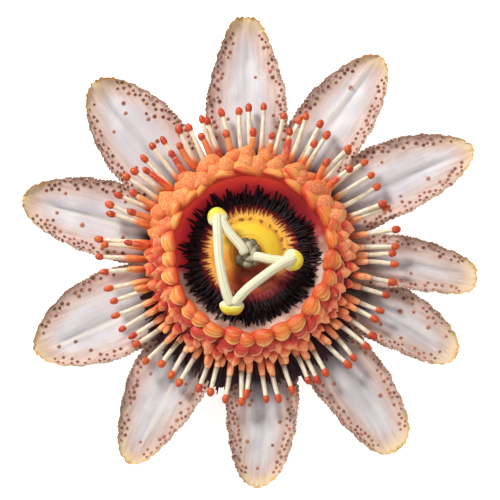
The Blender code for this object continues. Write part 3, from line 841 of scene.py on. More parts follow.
def turned(name, profile, steps, material, nodes, relief=None, lean=None):
    """A closed turned piece: a profile of (radius, height) pairs is spun about +Z, after an even resampling.

    steps holds the steps along the profile and round the axis. relief is a function of radius, azimuth
    and height that returns a shift in height; lean is one of height that returns a shift along y.
    """
    profile = np.array(profile, dtype=float)
    lengths = np.concatenate(([0.0], np.cumsum(np.linalg.norm(np.diff(profile, axis=0), axis=1))))
    place = np.linspace(0.0, lengths[-1], steps[0])
    radius, height = (np.interp(place, lengths, part)[:, None] for part in profile.T)
    azimuth = around(steps[1])[None, :]
    if relief is not None:
        height = height + relief(radius, azimuth, height)
    shift = 0.0 if lean is None else lean(height)
    add_piece(name, spun(radius, azimuth, height, shift), material, nodes)


def cup(material):
    """The cup: a flat floor and a bowl wall that flares to a soft lip, which leans towards the near side."""
    profile = [(0.02, 6.32), (11.9, 6.34), (12.6, 6.8), (13.5, 7.9), (14.6, 9.6), (15.5, 11.1), (16.3, 12.3)]
    profile += [(16.6, 12.4), (16.8, 12.2), (16.4, 11.0), (15.8, 9.4), (15.2, 7.9), (14.5, 6.7), (13.6, 5.9)]
    profile += [(12.4, 5.65), (0.02, 5.65)]

    def lean(height):
        return RING_SHIFT * smoothstep(7.0, 11.0, height)

    turned("cup_shell", profile, (90, 160), material, ["cup"], lean=lean)


def nectar_disc(material):
    """The yellow disc: rim, groove and stepped dome, with uneven folds."""

    def folds(radius, azimuth, height):
        seamless = np.sin(azimuth * 0.5) ** 2
        rim = smoothstep(6.6, 7.6, radius) * smoothstep(6.9, 7.3, height)
        uneven = 0.07 * wobble(azimuth * 6.0, 61, 7) * rim * seamless
        dome = smoothstep(1.5, 3.0, radius) * (height > 7.0)
        hollow = 0.05 * wobble(azimuth * 3.0 + radius * 1.5, 62) * dome
        return uneven + hollow * seamless

    profile = [(0.02, 8.75), (2.2, 8.74), (3.1, 8.66), (3.5, 8.52), (3.9, 8.56), (4.8, 8.3), (5.7, 7.9)]
    profile += [(6.2, 7.6), (6.5, 7.42), (6.75, 7.4), (7.1, 7.52), (7.5, 7.56), (7.9, 7.49), (8.2, 7.36)]
    profile += [(8.3, 6.9), (8.2, 6.35), (0.02, 6.35)]
    turned("nectar_cushion", profile, (120, 200), material, ["nectar_disc"], folds)


def receptacle(material):
    """The green base under the flower: flat spot, flared side with twenty shallow ribs, shelf and column."""

    def ribs(radius, azimuth, height):
        side = smoothstep(6.0, 8.0, radius) * smoothstep(2.4, 1.8, height)
        return 0.1 * np.cos(azimuth * 20.0) * side

    profile = [(0.02, 0.0), (5.0, 0.0), (6.4, 0.2), (7.8, 0.7), (9.2, 1.25), (10.2, 1.9), (10.5, 2.25)]
    profile += [(10.1, 2.5), (5.4, 2.5), (5.4, 5.3), (0.02, 5.3)]
    turned("receptacle_base", profile, (80, 200), material, ["receptacle"], ribs)


# ------------------------------------------------------------------------------------------------
# Filaments and ruff

KNOB_START = 0.86  # the along attribute where a filament's knob starts
KNOB_LENGTH = 1.85
KNOB_RADIUS = 0.71
STEM_RADIUS = 0.42


def filaments(name, roots, tips, bow, sleeve, material, nodes, seed):
    """Knobbed filaments from roots to tips: sleeve, thin stem and egg-shaped knob, as closed tubes.

    The radius is the sleeve's up to its end, then the stem's, then a half-ellipse swell over the knob. The
    path is the chord with a sine bow in height and a small sideways sine bend.
    """
    draw = np.random.default_rng(seed)
    count = len(roots)
    column = (count, 1, 1)
    sleeve = sleeve[:, None]
    place = np.concatenate((np.linspace(0.0, 0.82, 22), np.linspace(0.835, 1.0, 14)))[None, :]
    arch = np.sin(math.pi * place)[:, :, None]
    path = between(roots, tips, place[:, :, None])
    chord = np.linalg.norm(tips - roots, axis=1)[:, None]
    level = np.cross((tips - roots) / chord, np.array([0.0, 0.0, 1.0]))
    path[:, :, 2] += bow * arch[:, :, 0]
    path += level[:, None] * draw.uniform(-0.35, 0.35, column) * arch
    knob_length = (KNOB_LENGTH + draw.uniform(-0.25, 0.25, (count, 1))) / chord
    knob = np.clip((place - 1.0 + knob_length) / knob_length, 0.0, 1.0)
    stem = STEM_RADIUS + 0.1 * smoothstep(0.9, 0.3, place)
    cuff = smoothstep(sleeve + 0.015, sleeve - 0.1, place)
    radius = stem + (0.09 + 0.05 * smoothstep(0.0, 0.25, place)) * cuff
    egg = KNOB_RADIUS * np.sqrt(np.clip(1.0 - (2.0 * knob**0.86 - 1.0) ** 2, 0.0, 1.0))
    egg = egg * draw.uniform(0.88, 1.12, (count, 1))
    radius = np.where(knob > 0.0, np.maximum(egg, radius * (knob < 0.5)), radius)
    on_knob = KNOB_START + (1.0 - KNOB_START) * np.clip(knob * 2.2, 0.0, 1.0)
    values = {
        "along": np.where(knob > 0.0, on_knob, place * KNOB_START)[:, :, None],
        "tint": draw.uniform(0.0, 1.0, column),
        "sleeve": sleeve[:, :, None] * KNOB_START,
    }
    sides = 12
    shift = np.arange(count)[:, None, None] * 3.0
    plane = (np.linspace(0.0, 1.0, sides, endpoint=False) + shift, (place * chord)[:, :, None] + shift)
    points = sweep(path, np.maximum(radius, 0.02), sides)
    add_piece(name, points, material, nodes, values, plane)


def far_side(azimuth):
    """1 on the flower's far side, 0 on its near side: the smooth step of the azimuth's sine."""
    return smoothstep(-0.1, 0.6, np.sin(np.radians(azimuth)))


def long_filaments(material):
    """The ring of long filaments round the ruff's foot, unevenly spaced."""
    count = 65
    draw = random.Random(7)
    # Each row's last draw is spare.
    ranges = ((-0.22, 0.22), (-1.2, 0.7), (-2.0, 2.0), (-0.5, 0.7), (0.34, 0.48), (0.0, 1.0))
    rows = np.array([[draw.uniform(*pair) for pair in ranges] for _ in range(count)])
    jitter, extra, lean, rise, sleeve = rows.T[:5]
    azimuth = 360.0 * (np.arange(count) + jitter) / count
    roots = polar(18.3, azimuth, 6.67)
    tips = polar(29.7 + extra, azimuth + lean, 8.4 + rise)
    sleeve = sleeve + 0.06 - 0.13 * far_side(azimuth)
    filaments("long_filaments", roots, tips, 0.35, sleeve, material, ["filament_ring"], 21)


def upper_filaments(material):
    """Shorter filaments that stand out of the ruff's far side."""
    count = 14
    draw = np.random.default_rng(17)
    azimuth = even(38.0, 136.0, count, count - 1, 0.25, draw)
    roots = polar(19.6, azimuth, 10.2)
    tips = polar(25.6 + draw.uniform(-1.8, 0.9, count), azimuth + draw.uniform(-3.0, 3.0, count), 12.4)
    filaments("upper_filaments", roots, tips, 0.2, draw.uniform(0.4, 1.3, count), material, [], 22)


def side_inset(azimuth):
    """How far the ring stands in towards the axis at its left and right sides, by steps of the cosine."""
    across = np.cos(np.radians(azimuth))
    return 1.1 * smoothstep(0.1, 1.0, -across) + 0.5 * smoothstep(0.1, 1.0, across)


def ring_azimuths(count, jitter, draw, start):
    """Azimuths round the ring, closer together on the near side: the even place less a sine of it."""
    place = TAU * ((np.arange(count) + start + draw.uniform(-jitter, jitter, count)) / count - 0.5)
    return 270.0 + np.degrees(place) - 10.1 * np.sin(place)


def strewn(azimuth, near, far, loose, inset, draw):
    """Sizes and places for each azimuth, and the rest of the values, between near and far, with a spread.

    near and far hold radius, height, three sizes, tilt, roll and the rest. loose is the spread of the
    radius in millimetres, and scales the spread of the sizes and of the turns. inset is the share of the
    ring's inset at its sides. Places are azimuth, radius, height, tilt, twist and roll. All come as
    columns over (count, 1, 1).
    """
    count = len(azimuth)
    column = (count, 1, 1)
    share = far_side(azimuth)[:, None]
    values = (np.array(near)[None] * (1.0 - share) + np.array(far)[None] * share).T
    radius, height, long, wide, high, tilt, roll = values[:7]
    spread = 0.35 * loose
    size = np.stack((long, wide, high), axis=1) * draw.uniform(1.0 - spread, 1.0 + spread, (count, 3))
    radius = radius + draw.uniform(-1.0, 1.0, count) * loose
    height = height + draw.uniform(-0.6, 0.6, count) * loose
    tilt = tilt + draw.uniform(-24.0, 24.0, count) * loose
    roll = roll + draw.uniform(-40.0, 40.0, count) * loose
    twist = draw.uniform(-50.0, 50.0, count) * loose
    placed = (azimuth, radius - inset * side_inset(azimuth), height, tilt, twist, roll)
    sizes, places, rest = ([np.reshape(row, column) for row in rows] for rows in (size.T, placed, values[7:]))
    return sizes, places, rest


def set_in_ring(name, local, places, values, plane, material, nodes):
    """Puts closed grids into the ring, from local places (outward, along the ring, upright).

    Each is twisted about the upright axis, rolled about the outward axis and tipped down at its outer
    end, in degrees, then carried out to its radius and height and turned to its azimuth.
    """
    azimuth, radius, height, tilt, twist, roll = places
    outward, sideways, upright = np.broadcast_arrays(*local)
    outward, sideways = rotate(outward, sideways, np.radians(twist))
    sideways, upright = rotate(sideways, upright, np.radians(roll))
    outward, upright = rotate(outward, upright, -np.radians(tilt))
    x, y = rotate(radius + outward, sideways, np.radians(azimuth))
    points = np.stack((x, y + RING_SHIFT, height + upright), axis=-1)
    plane = (plane[0], plane[1] + np.arange(len(azimuth))[:, None, None] * 5.0)
    add_piece(name, points, material, nodes, values, plane)


# A shell's cross-section, from its inner foot over the top to the lip and back under: outward, upright,
# ridge, lip, inner and foot. A ridge below zero is a crease. Ridges are painted pale as painted highlight
# and creases dark as painted shade; the red inner flank is partly painted shade, and the foot is painted
# near-black on the near side as painted shade.
SHELL = (
    (-0.50, -0.80, 0.0, 0.0, 1.0, 1.0),
    (-0.86, -0.45, 0.0, 0.0, 1.0, 0.6),
    (-1.00, -0.05, 0.0, 0.0, 1.0, 0.2),
    (-0.98, 0.30, 0.0, 0.0, 1.0, 0.0),
    (-0.86, 0.58, 0.0, 0.0, 0.95, 0.0),
    (-0.64, 0.80, 0.0, 0.0, 0.75, 0.0),
    (-0.36, 0.94, 0.15, 0.0, 0.4, 0.0),
    (-0.10, 1.00, 0.4, 0.0, 0.1, 0.0),
    (0.08, 0.99, 0.4, 0.0, 0.0, 0.0),
    (0.18, 0.94, -0.5, 0.0, 0.0, 0.0),
    (0.30, 0.94, 0.3, 0.0, 0.0, 0.0),
    (0.46, 0.87, 0.8, 0.0, 0.0, 0.0),
    (0.60, 0.77, 0.5, 0.0, 0.0, 0.0),
    (0.70, 0.64, -0.9, 0.0, 0.0, 0.0),
    (0.76, 0.63, 0.0, 0.7, 0.0, 0.0),
    (0.84, 0.57, 0.0, 1.0, 0.0, 0.0),
    (0.93, 0.47, 0.0, 1.0, 0.0, 0.0),
    (1.00, 0.34, 0.0, 0.8, 0.0, 0.0),
    (1.02, 0.22, 0.0, 0.1, 0.0, 0.5),
    (0.92, 0.10, 0.0, 0.0, 0.0, 1.0),
    (0.60, -0.15, 0.0, 0.0, 0.0, 1.0),
    (0.20, -0.60, 0.0, 0.0, 0.0, 1.0),
)


def shells(name, azimuth, near, far, loose, material, nodes, seed):
    """Fleshy shells that lie along the ring at the azimuths, as closed grids from one end to the other.

    near and far give radius, height, half-sizes along the ring, outward and upright, tilt, roll and how
    red a shell is. Its cross-section is the SHELL outline: a smooth inner side and top, creases, a
    bevelled pale lip and a hollow underside. It shrinks towards both ends by a power of the sine of the
    place between them, and its ends are bowed inward and down by the square of that place.
    """
    size, places, (deep,) = strewn(azimuth, near, far, loose, 1.0, np.random.default_rng(seed))
    long, thick, high = size
    # The red inner flank is strongest on the far-left shells, whose flanks face away from the key lamp:
    # painted shade.
    flank_red_and_shade = 0.45 + 0.55 * smoothstep(-0.35, 0.3, np.cos(np.radians(places[0] - FAR_LEFT)))
    draw = np.random.default_rng(seed + 100)
    column = (len(azimuth), 1, 1)
    end_turn = np.linspace(0.04, math.pi - 0.04, 24)[None, :, None]
    place = -np.cos(end_turn)
    end = np.abs(place)
    out, up, ridge, lip, inner, foot = (np.array(part)[None, None, :] for part in zip(*SHELL))
    girth = np.sin(end_turn) ** draw.uniform(0.8, 1.3, column)
    uneven = 1.0 + 0.06 * np.sin(3.0 * place + draw.uniform(0.0, TAU, column))
    outward = thick * girth * uneven * out - 0.3 * thick * place**2
    upright = high * np.sin(end_turn) ** 0.8 * up - 0.25 * place**2
    creased = draw.uniform(0.2, 1.0, column)
    # One end is red flesh; both ends are redder where the shells meet, partly painted shade.
    red_end = 0.7 * smoothstep(0.0, 0.9, place * np.sign(draw.uniform(-1.0, 0.35, column)))
    red_and_shaded_ends = np.maximum(red_end, 0.75 * smoothstep(0.45, 1.0, end))
    values = {
        "foot": foot,
        "tint": draw.uniform(0.0, 1.0, column),
        "ridge": 0.7 * ridge * creased * (1.0 - 0.7 * deep) * smoothstep(1.0, 0.8, end),
        "lip": lip * smoothstep(1.0, 0.85, end),
        "inner": np.maximum(inner * flank_red_and_shade, red_and_shaded_ends * (1.0 - lip)),
        "deep": deep,
    }
    set_in_ring(name, (outward, long * place, upright), places, values, (out * 0.8, place), material, nodes)


def scales(name, azimuth, near, far, loose, material, nodes, seed):
    """Fleshy pointed scales at the azimuths, as closed grids from the root to the tip.

    near and far give radius, height, half-length outward, half-width, height of the scale, tilt, roll,
    blunt, frost and deep. The half-width grows up to three eighths of the length and then falls with a
    power of the distance: blunt 0 gives a straight-sided point, and 1 a round end. Across it the upper
    face falls from a keel with a power of the distance, and the lower face is a shallow bow. The tip is
    bent down by the square of its distance.
    """
    draw = np.random.default_rng(seed)
    size, places, (blunt, frost, deep) = strewn(azimuth, near, far, loose, 0.8, draw)
    long, half_width, high = size
    column = (len(azimuth), 1, 1)
    blunt = np.clip(blunt + draw.uniform(-0.2, 0.5, column), 0.0, 1.0)
    deep = np.clip(deep + 0.7 * (draw.uniform(0.0, 1.0, column) < 0.22), 0.0, 1.0)
    draw = np.random.default_rng(seed + 100)
    share = np.concatenate(([0.0, 0.02], np.linspace(0.1, 0.995, 15)))[None, :, None]
    half = np.sin(np.linspace(-math.pi / 2, math.pi / 2, 13))
    across = np.concatenate((half, half[-2:0:-2]))[None, None, :]
    out = np.abs(across)
    top = (np.arange(across.shape[2]) < len(half))[None, None, :]
    past = np.clip((share - 0.38) / 0.62, 0.0, 1.0)
    grown = np.sin(np.clip(share / 0.38, 0.0, 1.0) * math.pi / 2)
    wide = (0.5 + 0.5 * grown) * (1.0 - past ** (1.15 + 1.6 * blunt))
    tall = (0.6 + 0.4 * grown) * (1.0 - 0.86 * past ** (1.2 + 1.2 * blunt))
    closed = np.where(share < 0.01, 0.1, 1.0)
    wavy = 1.0 + 0.08 * np.sin(5.0 * share + 2.0 * across + draw.uniform(0.0, TAU, column))
    sideways = half_width * wide * across * closed * wavy
    keel = 1.0 - out ** (draw.uniform(1.05, 1.7, column) + 0.8 * blunt)
    bulge = np.where(top, keel, -0.4 * (1.0 - across**2)) * tall * closed
    ripple = 0.05 * np.sin(7.0 * across + draw.uniform(0.0, TAU, column)) * past * top * (1.0 - out)
    upright = high * bulge + ripple - draw.uniform(0.2, 0.7, column) * past**2
    upright = upright - 0.25 * sideways**2 / half_width
    rim = np.maximum(smoothstep(0.9, 1.0, out) * smoothstep(0.3, 0.6, share), smoothstep(0.93, 0.99, share))
    start = draw.uniform(-0.06, 0.1, column)
    root = smoothstep(0.34, 0.12, share + start) * (1.0 - 0.7 * blunt)
    # Undersides and roots take the foot colour, painted near-black on the near side as painted shade.
    values = {
        "foot": np.maximum(np.where(top, 0.0, 1.0), root),
        "tint": draw.uniform(0.0, 1.0, column),
        "frost": frost * top * smoothstep(0.42, 0.72, share + 0.6 * start + 0.32 * blunt),
        "lip": rim * top * 0.8,
        "inner": smoothstep(0.8, 0.42, share + start) * (1.0 - 0.8 * blunt) * 0.9,
        "deep": deep,
    }
    local = (long * (2.0 * share - 1.0), sideways, upright)
    set_in_ring(name, local, places, values, (across * 0.9, share * 1.8), material, nodes)


def fingers(material):
    """Blunt fleshy fingers under the ruff's near side: tubes that end in a half-ellipse."""
    draw = np.random.default_rng(44)
    count = 17
    sides = 12
    blunt_from = 0.78
    azimuth = even(190.0, 166.0, count, count, 0.3, draw)
    roots = polar(19.6, azimuth, 9.2)
    reach = 23.3 + draw.uniform(-1.1, 0.9, count)
    turned_by = draw.uniform(-3.0, 3.0, count)
    tips = polar(reach, azimuth + turned_by, 8.6 + draw.uniform(-0.5, 0.7, count))
    last = blunt_from + (1.0 - blunt_from) * np.sin(np.linspace(0.2, math.pi / 2, 7))
    share = np.concatenate((np.linspace(0.0, blunt_from, 7), last))[None, :, None]
    place = share[:, :, 0]
    path = between(roots, tips, share)
    path[:, :, 2] += 0.35 * np.sin(math.pi * place)
    path[:, :, 1] += 0.5 * RING_SHIFT
    blunt = np.clip(place - blunt_from, 0.0, 1.0) / (1.0 - blunt_from)
    blunt = np.sqrt(np.clip(1.0 - blunt**2, 0.0, 1.0))
    thick = draw.uniform(0.46, 0.68, (count, 1))
    points = sweep(path, thick * (0.85 + 0.15 * place) * np.maximum(blunt, 0.04), sides)
    # The root takes the foot colour, painted near-black on the near side as painted shade.
    values = {
        "foot": smoothstep(0.5, 0.1, share),
        "tint": draw.uniform(0.0, 1.0, (count, 1, 1)),
        "frost": 0.9 * smoothstep(0.4, 0.7, share),
        "lip": 0.7 * smoothstep(0.8, 1.0, share),
        "inner": 0.5 * smoothstep(0.7, 0.4, share),
    }
    shift = np.arange(count)[:, None, None] * 3.0
    plane = (np.linspace(0.0, 1.0, sides, endpoint=False) + shift, share * 2.0)
    add_piece("finger_scales", points, material, [], values, plane)


# Function, name, node, seed, count, jitter, start and spread of each row, and its near and far values. They
# are radius, height, half-sizes, tilt, roll and deep for shells, and for scales radius, height, sizes, tilt,
# roll, blunt, frost and deep.
RUFF_ROWS = (
    (
        *(shells, "inner_shells", ["ruff"], 41, 26, 0.22, 0.0, 0.36),
        (16.75, 12.75, 2.1, 1.6, 1.15, 8.0, 10.0, 0.0),
        (16.55, 12.7, 2.3, 0.95, 1.1, -4.0, 8.0, 0.0),
    ),
    (
        *(shells, "deep_shells", [], 45, 32, 0.3, 0.5, 0.45),
        (18.3, 11.8, 2.0, 1.5, 0.85, 22.0, 8.0, 0.95),
        (17.7, 12.2, 2.0, 1.3, 1.0, 10.0, 6.0, 0.0),
    ),
    (
        *(scales, "middle_scales", [], 42, 44, 0.35, 0.2, 0.42),
        (19.1, 11.3, 1.65, 1.25, 0.8, 24.0, 5.0, 0.2, 1.0, 0.2),
        (18.4, 12.0, 2.3, 2.5, 1.2, 12.0, 4.0, 1.0, 1.0, 0.0),
    ),
    (
        *(scales, "outer_scales", [], 43, 48, 0.4, 0.1, 0.5),
        (20.3, 10.4, 1.6, 1.15, 0.65, 28.0, 5.0, 0.2, 1.0, 0.2),
        (20.2, 11.0, 2.0, 2.0, 1.1, 26.0, 4.0, 0.8, 0.9, 0.0),
    ),
)


def ruff(material):
    """The orange ruff: a red core ring, inner and deep red shells, rows of pointed scales, and fingers.

    The core is a closed profile of (radius, height) corners, spun about +Z.
    """
    core = [(16.3, 8.0), (18.8, 7.9), (20.0, 8.9), (19.8, 10.2), (18.7, 11.5), (17.4, 12.4), (16.7, 12.7)]
    core += [(16.0, 12.5), (15.7, 12.2), (15.7, 11.9), (16.1, 11.7)]
    radius, height = np.array(core).T[:, :, None]
    turn = around(120)[None, :]
    points = spun(radius - 0.35 * side_inset(np.degrees(turn)), turn, height, RING_SHIFT)
    # The core's lower and outer faces take the foot colour, painted near-black on the near side as painted
    # shade.
    inner = np.array([1.0, 0.0, 0.0, 0.0, 0.0, 0.3, 0.8, 1.0, 1.0, 1.0, 1.0])[:, None]
    values = {"foot": 1.0 - inner, "tint": 0.5, "inner": inner}
    add_piece("ruff_core", points, material, [], values, ring=True)
    draw = np.random.default_rng(40)
    for make, name, nodes, seed, count, jitter, start, loose, near, far in RUFF_ROWS:
        azimuth = ring_azimuths(count, jitter, draw, start)
        make(name, azimuth, near, far, loose, material, nodes, seed)
    # More scales fill the left and right sides.
    draw = np.random.default_rng(46)
    left = 160.0 + 62.0 * draw.uniform(0.0, 1.0, 14)
    right = -48.0 + 70.0 * draw.uniform(0.0, 1.0, 8)
    near = (18.6, 12.0, 1.75, 1.3, 0.8, 16.0, 5.0, 0.3, 0.9, 0.1)
    far = (18.0, 12.3, 1.9, 1.6, 0.9, 8.0, 4.0, 0.7, 0.9, 0.0)
    scales("side_scales", np.concatenate((left, right)), near, far, 0.4, material, [], 47)
    fingers(material)


FRINGE_MIDDLE = 272.0  # azimuth of the fringe's middle
SKIRT_ROOT = 17.6  # distance of the skirt's inner edge from the axis


def gap_reach(azimuth):
    """How much farther the fringe and the skirt reach in two gaps between tepals: bells of the azimuth."""
    return 2.0 * bell(azimuth, 256.0, 8.0), 1.2 * bell(azimuth, 291.0, 8.0)


def fringe(material):
    """Short dark threads low under the ruff's near side, and the thin ragged skirt that they grow from.

    The threads are tapering tubes. The skirt is a flat closed ring, and its edge is a sum of sines and
    bells. Both are dark pieces that stand in for the deep shade under the ruff's near side: painted shade.
    """
    draw = np.random.default_rng(50)
    count = 150
    column = (count, 1)
    azimuth = even(198.0, 142.0, count, count, 0.4, draw)
    mid = 1.0 - smoothstep(42.0, 68.0, np.abs(azimuth - FRINGE_MIDDLE))
    roots = polar(18.4, azimuth, 7.1 + draw.uniform(-0.4, 0.3, count))
    left, right = gap_reach(azimuth)
    reach = 22.9 + 3.4 * mid * draw.uniform(0.5, 1.0, count) + (left + right)
    tips = polar(reach, azimuth + draw.uniform(-2.5, 2.5, count), 6.7)
    share = np.linspace(0.0, 1.0, 9)[None, :, None]
    radius = 0.42 * draw.uniform(0.8, 1.3, column) * (1.0 - 0.75 * share[:, :, 0]) + 0.03
    points = sweep(between(roots, tips, share), radius, 6)
    values = {"along": share, "tint": draw.uniform(0.0, 1.0, (*column, 1))}
    add_piece("painted_shade_fringe", points, material, [], values)
    turn = around(360)[None, :]
    near = smoothstep(62.0, 40.0, np.abs(np.degrees(turn) - FRINGE_MIDDLE))
    left, right = gap_reach(np.degrees(turn))
    ragged = 5.0 + 0.5 * wobble(turn * 9.0, 51) + 0.5 * np.abs(np.sin(turn * 47.0))
    edge = 19.2 + near * ragged + left + right
    rim = np.array([0.0, 0.5, 1.0, 1.0, 0.5, 0.0])[:, None]
    height = np.array([6.75, 6.3, 5.85, 5.7, 5.95, 6.3])[:, None]
    values = {"along": np.array([0.0, 0.4, 0.9, 0.9, 0.4, 0.0])[:, None], "tint": 0.3}
    points = spun(SKIRT_ROOT + (edge - SKIRT_ROOT) * rim, turn, height)
    add_piece("painted_shade_skirt", points, material, [], values, ring=True)


# ------------------------------------------------------------------------------------------------
# Spines, ovary, styles and stigmas

DISC_RADIUS = 8.3
BED_HEIGHT = 7.48  # of the spines' roots next to the disc
BED_SLOPE = 0.09


def spine_layer(material, name, nodes, seed, count, root, reach, rise, thick, longer, needle, arc):
    """Fine spines round the disc, as tubes from their roots to their tips, gently arched.

    root, reach and rise each give a low and a high value: the distance of the roots and of the tips from
    the axis, and the height of the tips. A needle, with needle at 1, is thickest near its root and tapers
    to a point. A thread, with needle at 0, grows by a smooth step up to its middle and keeps its thickness
    from there. longer is how much farther the spines reach on the near side, and arc holds the first and
    the last azimuth.
    """
    draw = np.random.default_rng(seed)
    column = (count, 1)
    azimuth = even(arc[0], arc[1] - arc[0], count, count, 0.45, draw)
    start = draw.uniform(*root, count)
    roots = polar(start, azimuth, BED_HEIGHT - BED_SLOPE * (start - DISC_RADIUS))
    ends = reach[0] + (reach[1] - reach[0]) * draw.uniform(0.0, 1.0, count) ** 1.4
    ends = ends + 0.6 * longer * smoothstep(-0.2, 0.9, np.cos(np.radians(azimuth + 62.0)))
    ends = ends + 0.4 * longer * smoothstep(0.2, 1.0, np.cos(np.radians(azimuth + 90.0)))
    tips = polar(ends, azimuth + draw.uniform(-3.5, 3.5, count), draw.uniform(*rise, count))
    share = np.linspace(0.0, 1.0, 8)[None, :, None]
    place = share[:, :, 0]
    path = between(roots, tips, share)
    path[:, :, 2] += draw.uniform(0.0, 0.5, column) * np.sin(math.pi * place) * needle
    turn = np.radians(azimuth)
    level = np.stack((-np.sin(turn), np.cos(turn), 0.0 * turn), axis=-1)[:, None]
    path += level * draw.uniform(-0.3, 0.3, (*column, 1)) * share**2 * needle
    taper = np.clip(1.0 - place, 0.0, 1.0) ** 0.95 * (0.5 + 0.5 * smoothstep(0.0, 0.25, place)) * 1.4
    radius = needle * taper + (1.0 - needle) * (0.12 + 0.88 * smoothstep(0.0, 0.55, place)) + 0.02
    points = sweep(path, radius * thick * draw.uniform(0.7, 1.3, column), 5)
    values = {"along": share, "tint": draw.uniform(0.0, 1.0, (*column, 1))}
    add_piece(name, points, material, nodes, values)


WHOLE = (0.0, 360.0)
# Name, node, seed, count, low and high values of root, reach and rise, thickness, longer, needle and arc.
SPINE_LAYERS = (
    ("spine_threads", [], 4, 124, (7.5, 8.5), (10.9, 11.8), (7.5, 7.8), 0.26, 0.0, 0.0, WHOLE),
    ("short_spines", ["spine_ring"], 5, 270, (9.1, 10.8), (11.9, 13.1), (7.3, 8.6), 0.24, 0.8, 1.0, WHOLE),
    ("long_spines", [], 6, 92, (10.4, 11.8), (12.4, 15.3), (7.8, 9.8), 0.37, 1.3, 1.0, WHOLE),
    ("stray_spines", [], 7, 88, (11.0, 12.4), (12.9, 16.2), (7.6, 9.6), 0.23, 2.2, 1.0, (200.0, 395.0)),
)


def spines(material, bed):
    """The spines' bed, thin threads that run over the disc's edge, and three layers of needles.

    The bed is a closed profile of (radius, height) corners, spun about +Z.
    """
    profile = [(7.6, 6.4), (7.6, 7.2), (7.9, 7.42), (9.4, 7.36), (10.6, 7.3), (11.3, 7.1), (11.8, 6.7)]
    radius, height = np.array([*profile, (11.9, 6.4)]).T[:, :, None]
    add_piece("spine_bed", spun(radius, around(120)[None, :], height), bed, ring=True)
    for layer in SPINE_LAYERS:
        spine_layer(material, *layer)


# The ovary's lobes: middle point, two half-sizes, turn about the upright axis, and tone from olive to silver.
LOBES = (
    (-1.5, -1.85, 10.3, 1.3, 1.45, 20.0, 0.1),
    (-0.75, 1.5, 10.4, 1.15, 1.2, 40.0, 0.2),
    (0.55, 1.25, 10.5, 1.1, 1.15, -20.0, 0.3),
    (1.35, 0.15, 10.4, 0.95, 1.4, -12.0, 0.3),
    (-1.2, 0.0, 10.5, 1.0, 1.4, 12.0, 0.3),
    (1.2, -2.1, 10.4, 1.1, 0.95, 25.0, 0.55),
    (-0.2, -2.6, 10.4, 1.25, 0.95, -8.0, 0.5),
    (0.05, 0.45, 11.3, 0.85, 1.4, 14.0, 0.85),
    (0.8, -0.45, 11.2, 0.8, 1.25, -28.0, 0.85),
    (0.35, -1.65, 11.2, 1.35, 0.8, 8.0, 0.9),
    (-0.75, -1.3, 11.1, 0.8, 0.95, 50.0, 0.5),
    (0.0, -0.4, 9.9, 2.3, 2.7, 0.0, 0.0),
)
LOBE_HEIGHT = 0.8


def ovary(material):
    """A cluster of folded lobes: each is an ellipsoid with two creases down its sides.

    The creases are bells of the cosine of the turn. The crest attribute is high on a lobe's top and low
    at its foot and in its creases.
    """
    x, y, z, wide, long, turned_by, tone = (np.array(part)[:, None, None] for part in zip(*LOBES))
    draw = np.random.default_rng(3)
    down = np.linspace(0.03, math.pi - 0.03, 26)[None, :, None]
    turn = around(26)[None, None, :]
    fold = 1.0 - 0.12 * bell(np.cos(turn + draw.uniform(0.0, TAU, (len(LOBES), 1, 1))), 0.2, 0.22)
    across = wide * np.sin(down) * np.cos(turn) * fold
    along = long * np.sin(down) * np.sin(turn) * fold
    across, along = rotate(across, along, np.radians(turned_by))
    points = np.stack(np.broadcast_arrays(x + across, y + along, z + LOBE_HEIGHT * np.cos(down)), axis=-1)
    values = {"crest": (0.5 + 0.5 * np.cos(down)) * (fold * 2.0 - 1.0), "tone": tone}
    add_piece("ovary_lobes", points, material, ["ovary"], values)


# Points on each style's centreline.
STYLES = {
    "style_ovary_left": ((-0.75, -1.0, 11.9), (-1.5, 0.5, 12.3), (-3.7, 3.1, 12.5), (-5.6, 5.9, 12.5)),
    "style_ovary_right": ((1.0, -1.35, 11.4), (2.2, -1.6, 12.1), (4.6, -2.2, 12.4), (8.2, -2.5, 12.3)),
    "style_left_low": (
        (-6.2, 6.7, 12.6),
        (-6.05, 2.6, 13.2),
        (-5.8, -2.0, 13.35),
        (-4.9, -7.0, 13.15),
        (-3.6, -11.2, 12.5),
    ),
    "style_low_right": (
        (-3.0, -11.0, 12.5),
        (-0.6, -8.4, 13.2),
        (2.5, -5.9, 13.4),
        (6.0, -3.4, 13.2),
        (8.9, -1.9, 12.6),
    ),
}


def curve(points, count):
    """A Catmull-Rom curve through the points, evenly sampled in its parameter."""
    points = np.array(points, dtype=float)
    padded = np.concatenate(([2 * points[0] - points[1]], points, [2 * points[-1] - points[-2]]))
    place = np.linspace(0.0, len(points) - 1, count)
    span = np.minimum(place.astype(int), len(points) - 2)
    t = (place - span)[:, None]
    a, b, c, d = (padded[span + k] for k in range(4))
    return 0.5 * (2 * b + (c - a) * t + (2 * a - 5 * b + 4 * c - d) * t**2 + (3 * b - a - 3 * c + d) * t**3)


def style(name, centreline, material):
    """A bent tube with soft cosine ribs along it, narrower by a sine in its middle and drawn in at both ends.

    The tail attribute marks the first part of a tube that starts at the ovary.
    """
    rows, sides = 80, 56
    turn = around(sides)
    rib = 0.5 + 0.5 * np.cos(9.0 * turn + 0.6)
    place = np.linspace(0.0, 1.0, rows)
    radius = (1.0 - 0.05 * np.sin(math.pi * place)) * (1.0 - 0.25 * np.abs(2.0 * place - 1.0) ** 12)
    points = sweep(curve(centreline, rows)[None], radius[None], sides, 0.92, 0.97 + 0.03 * rib)
    tail = smoothstep(0.16, 0.02, place)[:, None] * name.startswith("style_ovary")
    values = {"rib": rib, "turn": np.sin(turn), "green": bell(turn, math.pi / 2, 0.16), "tail": tail}
    add_piece(name + "_tube", points, material, [name], values)


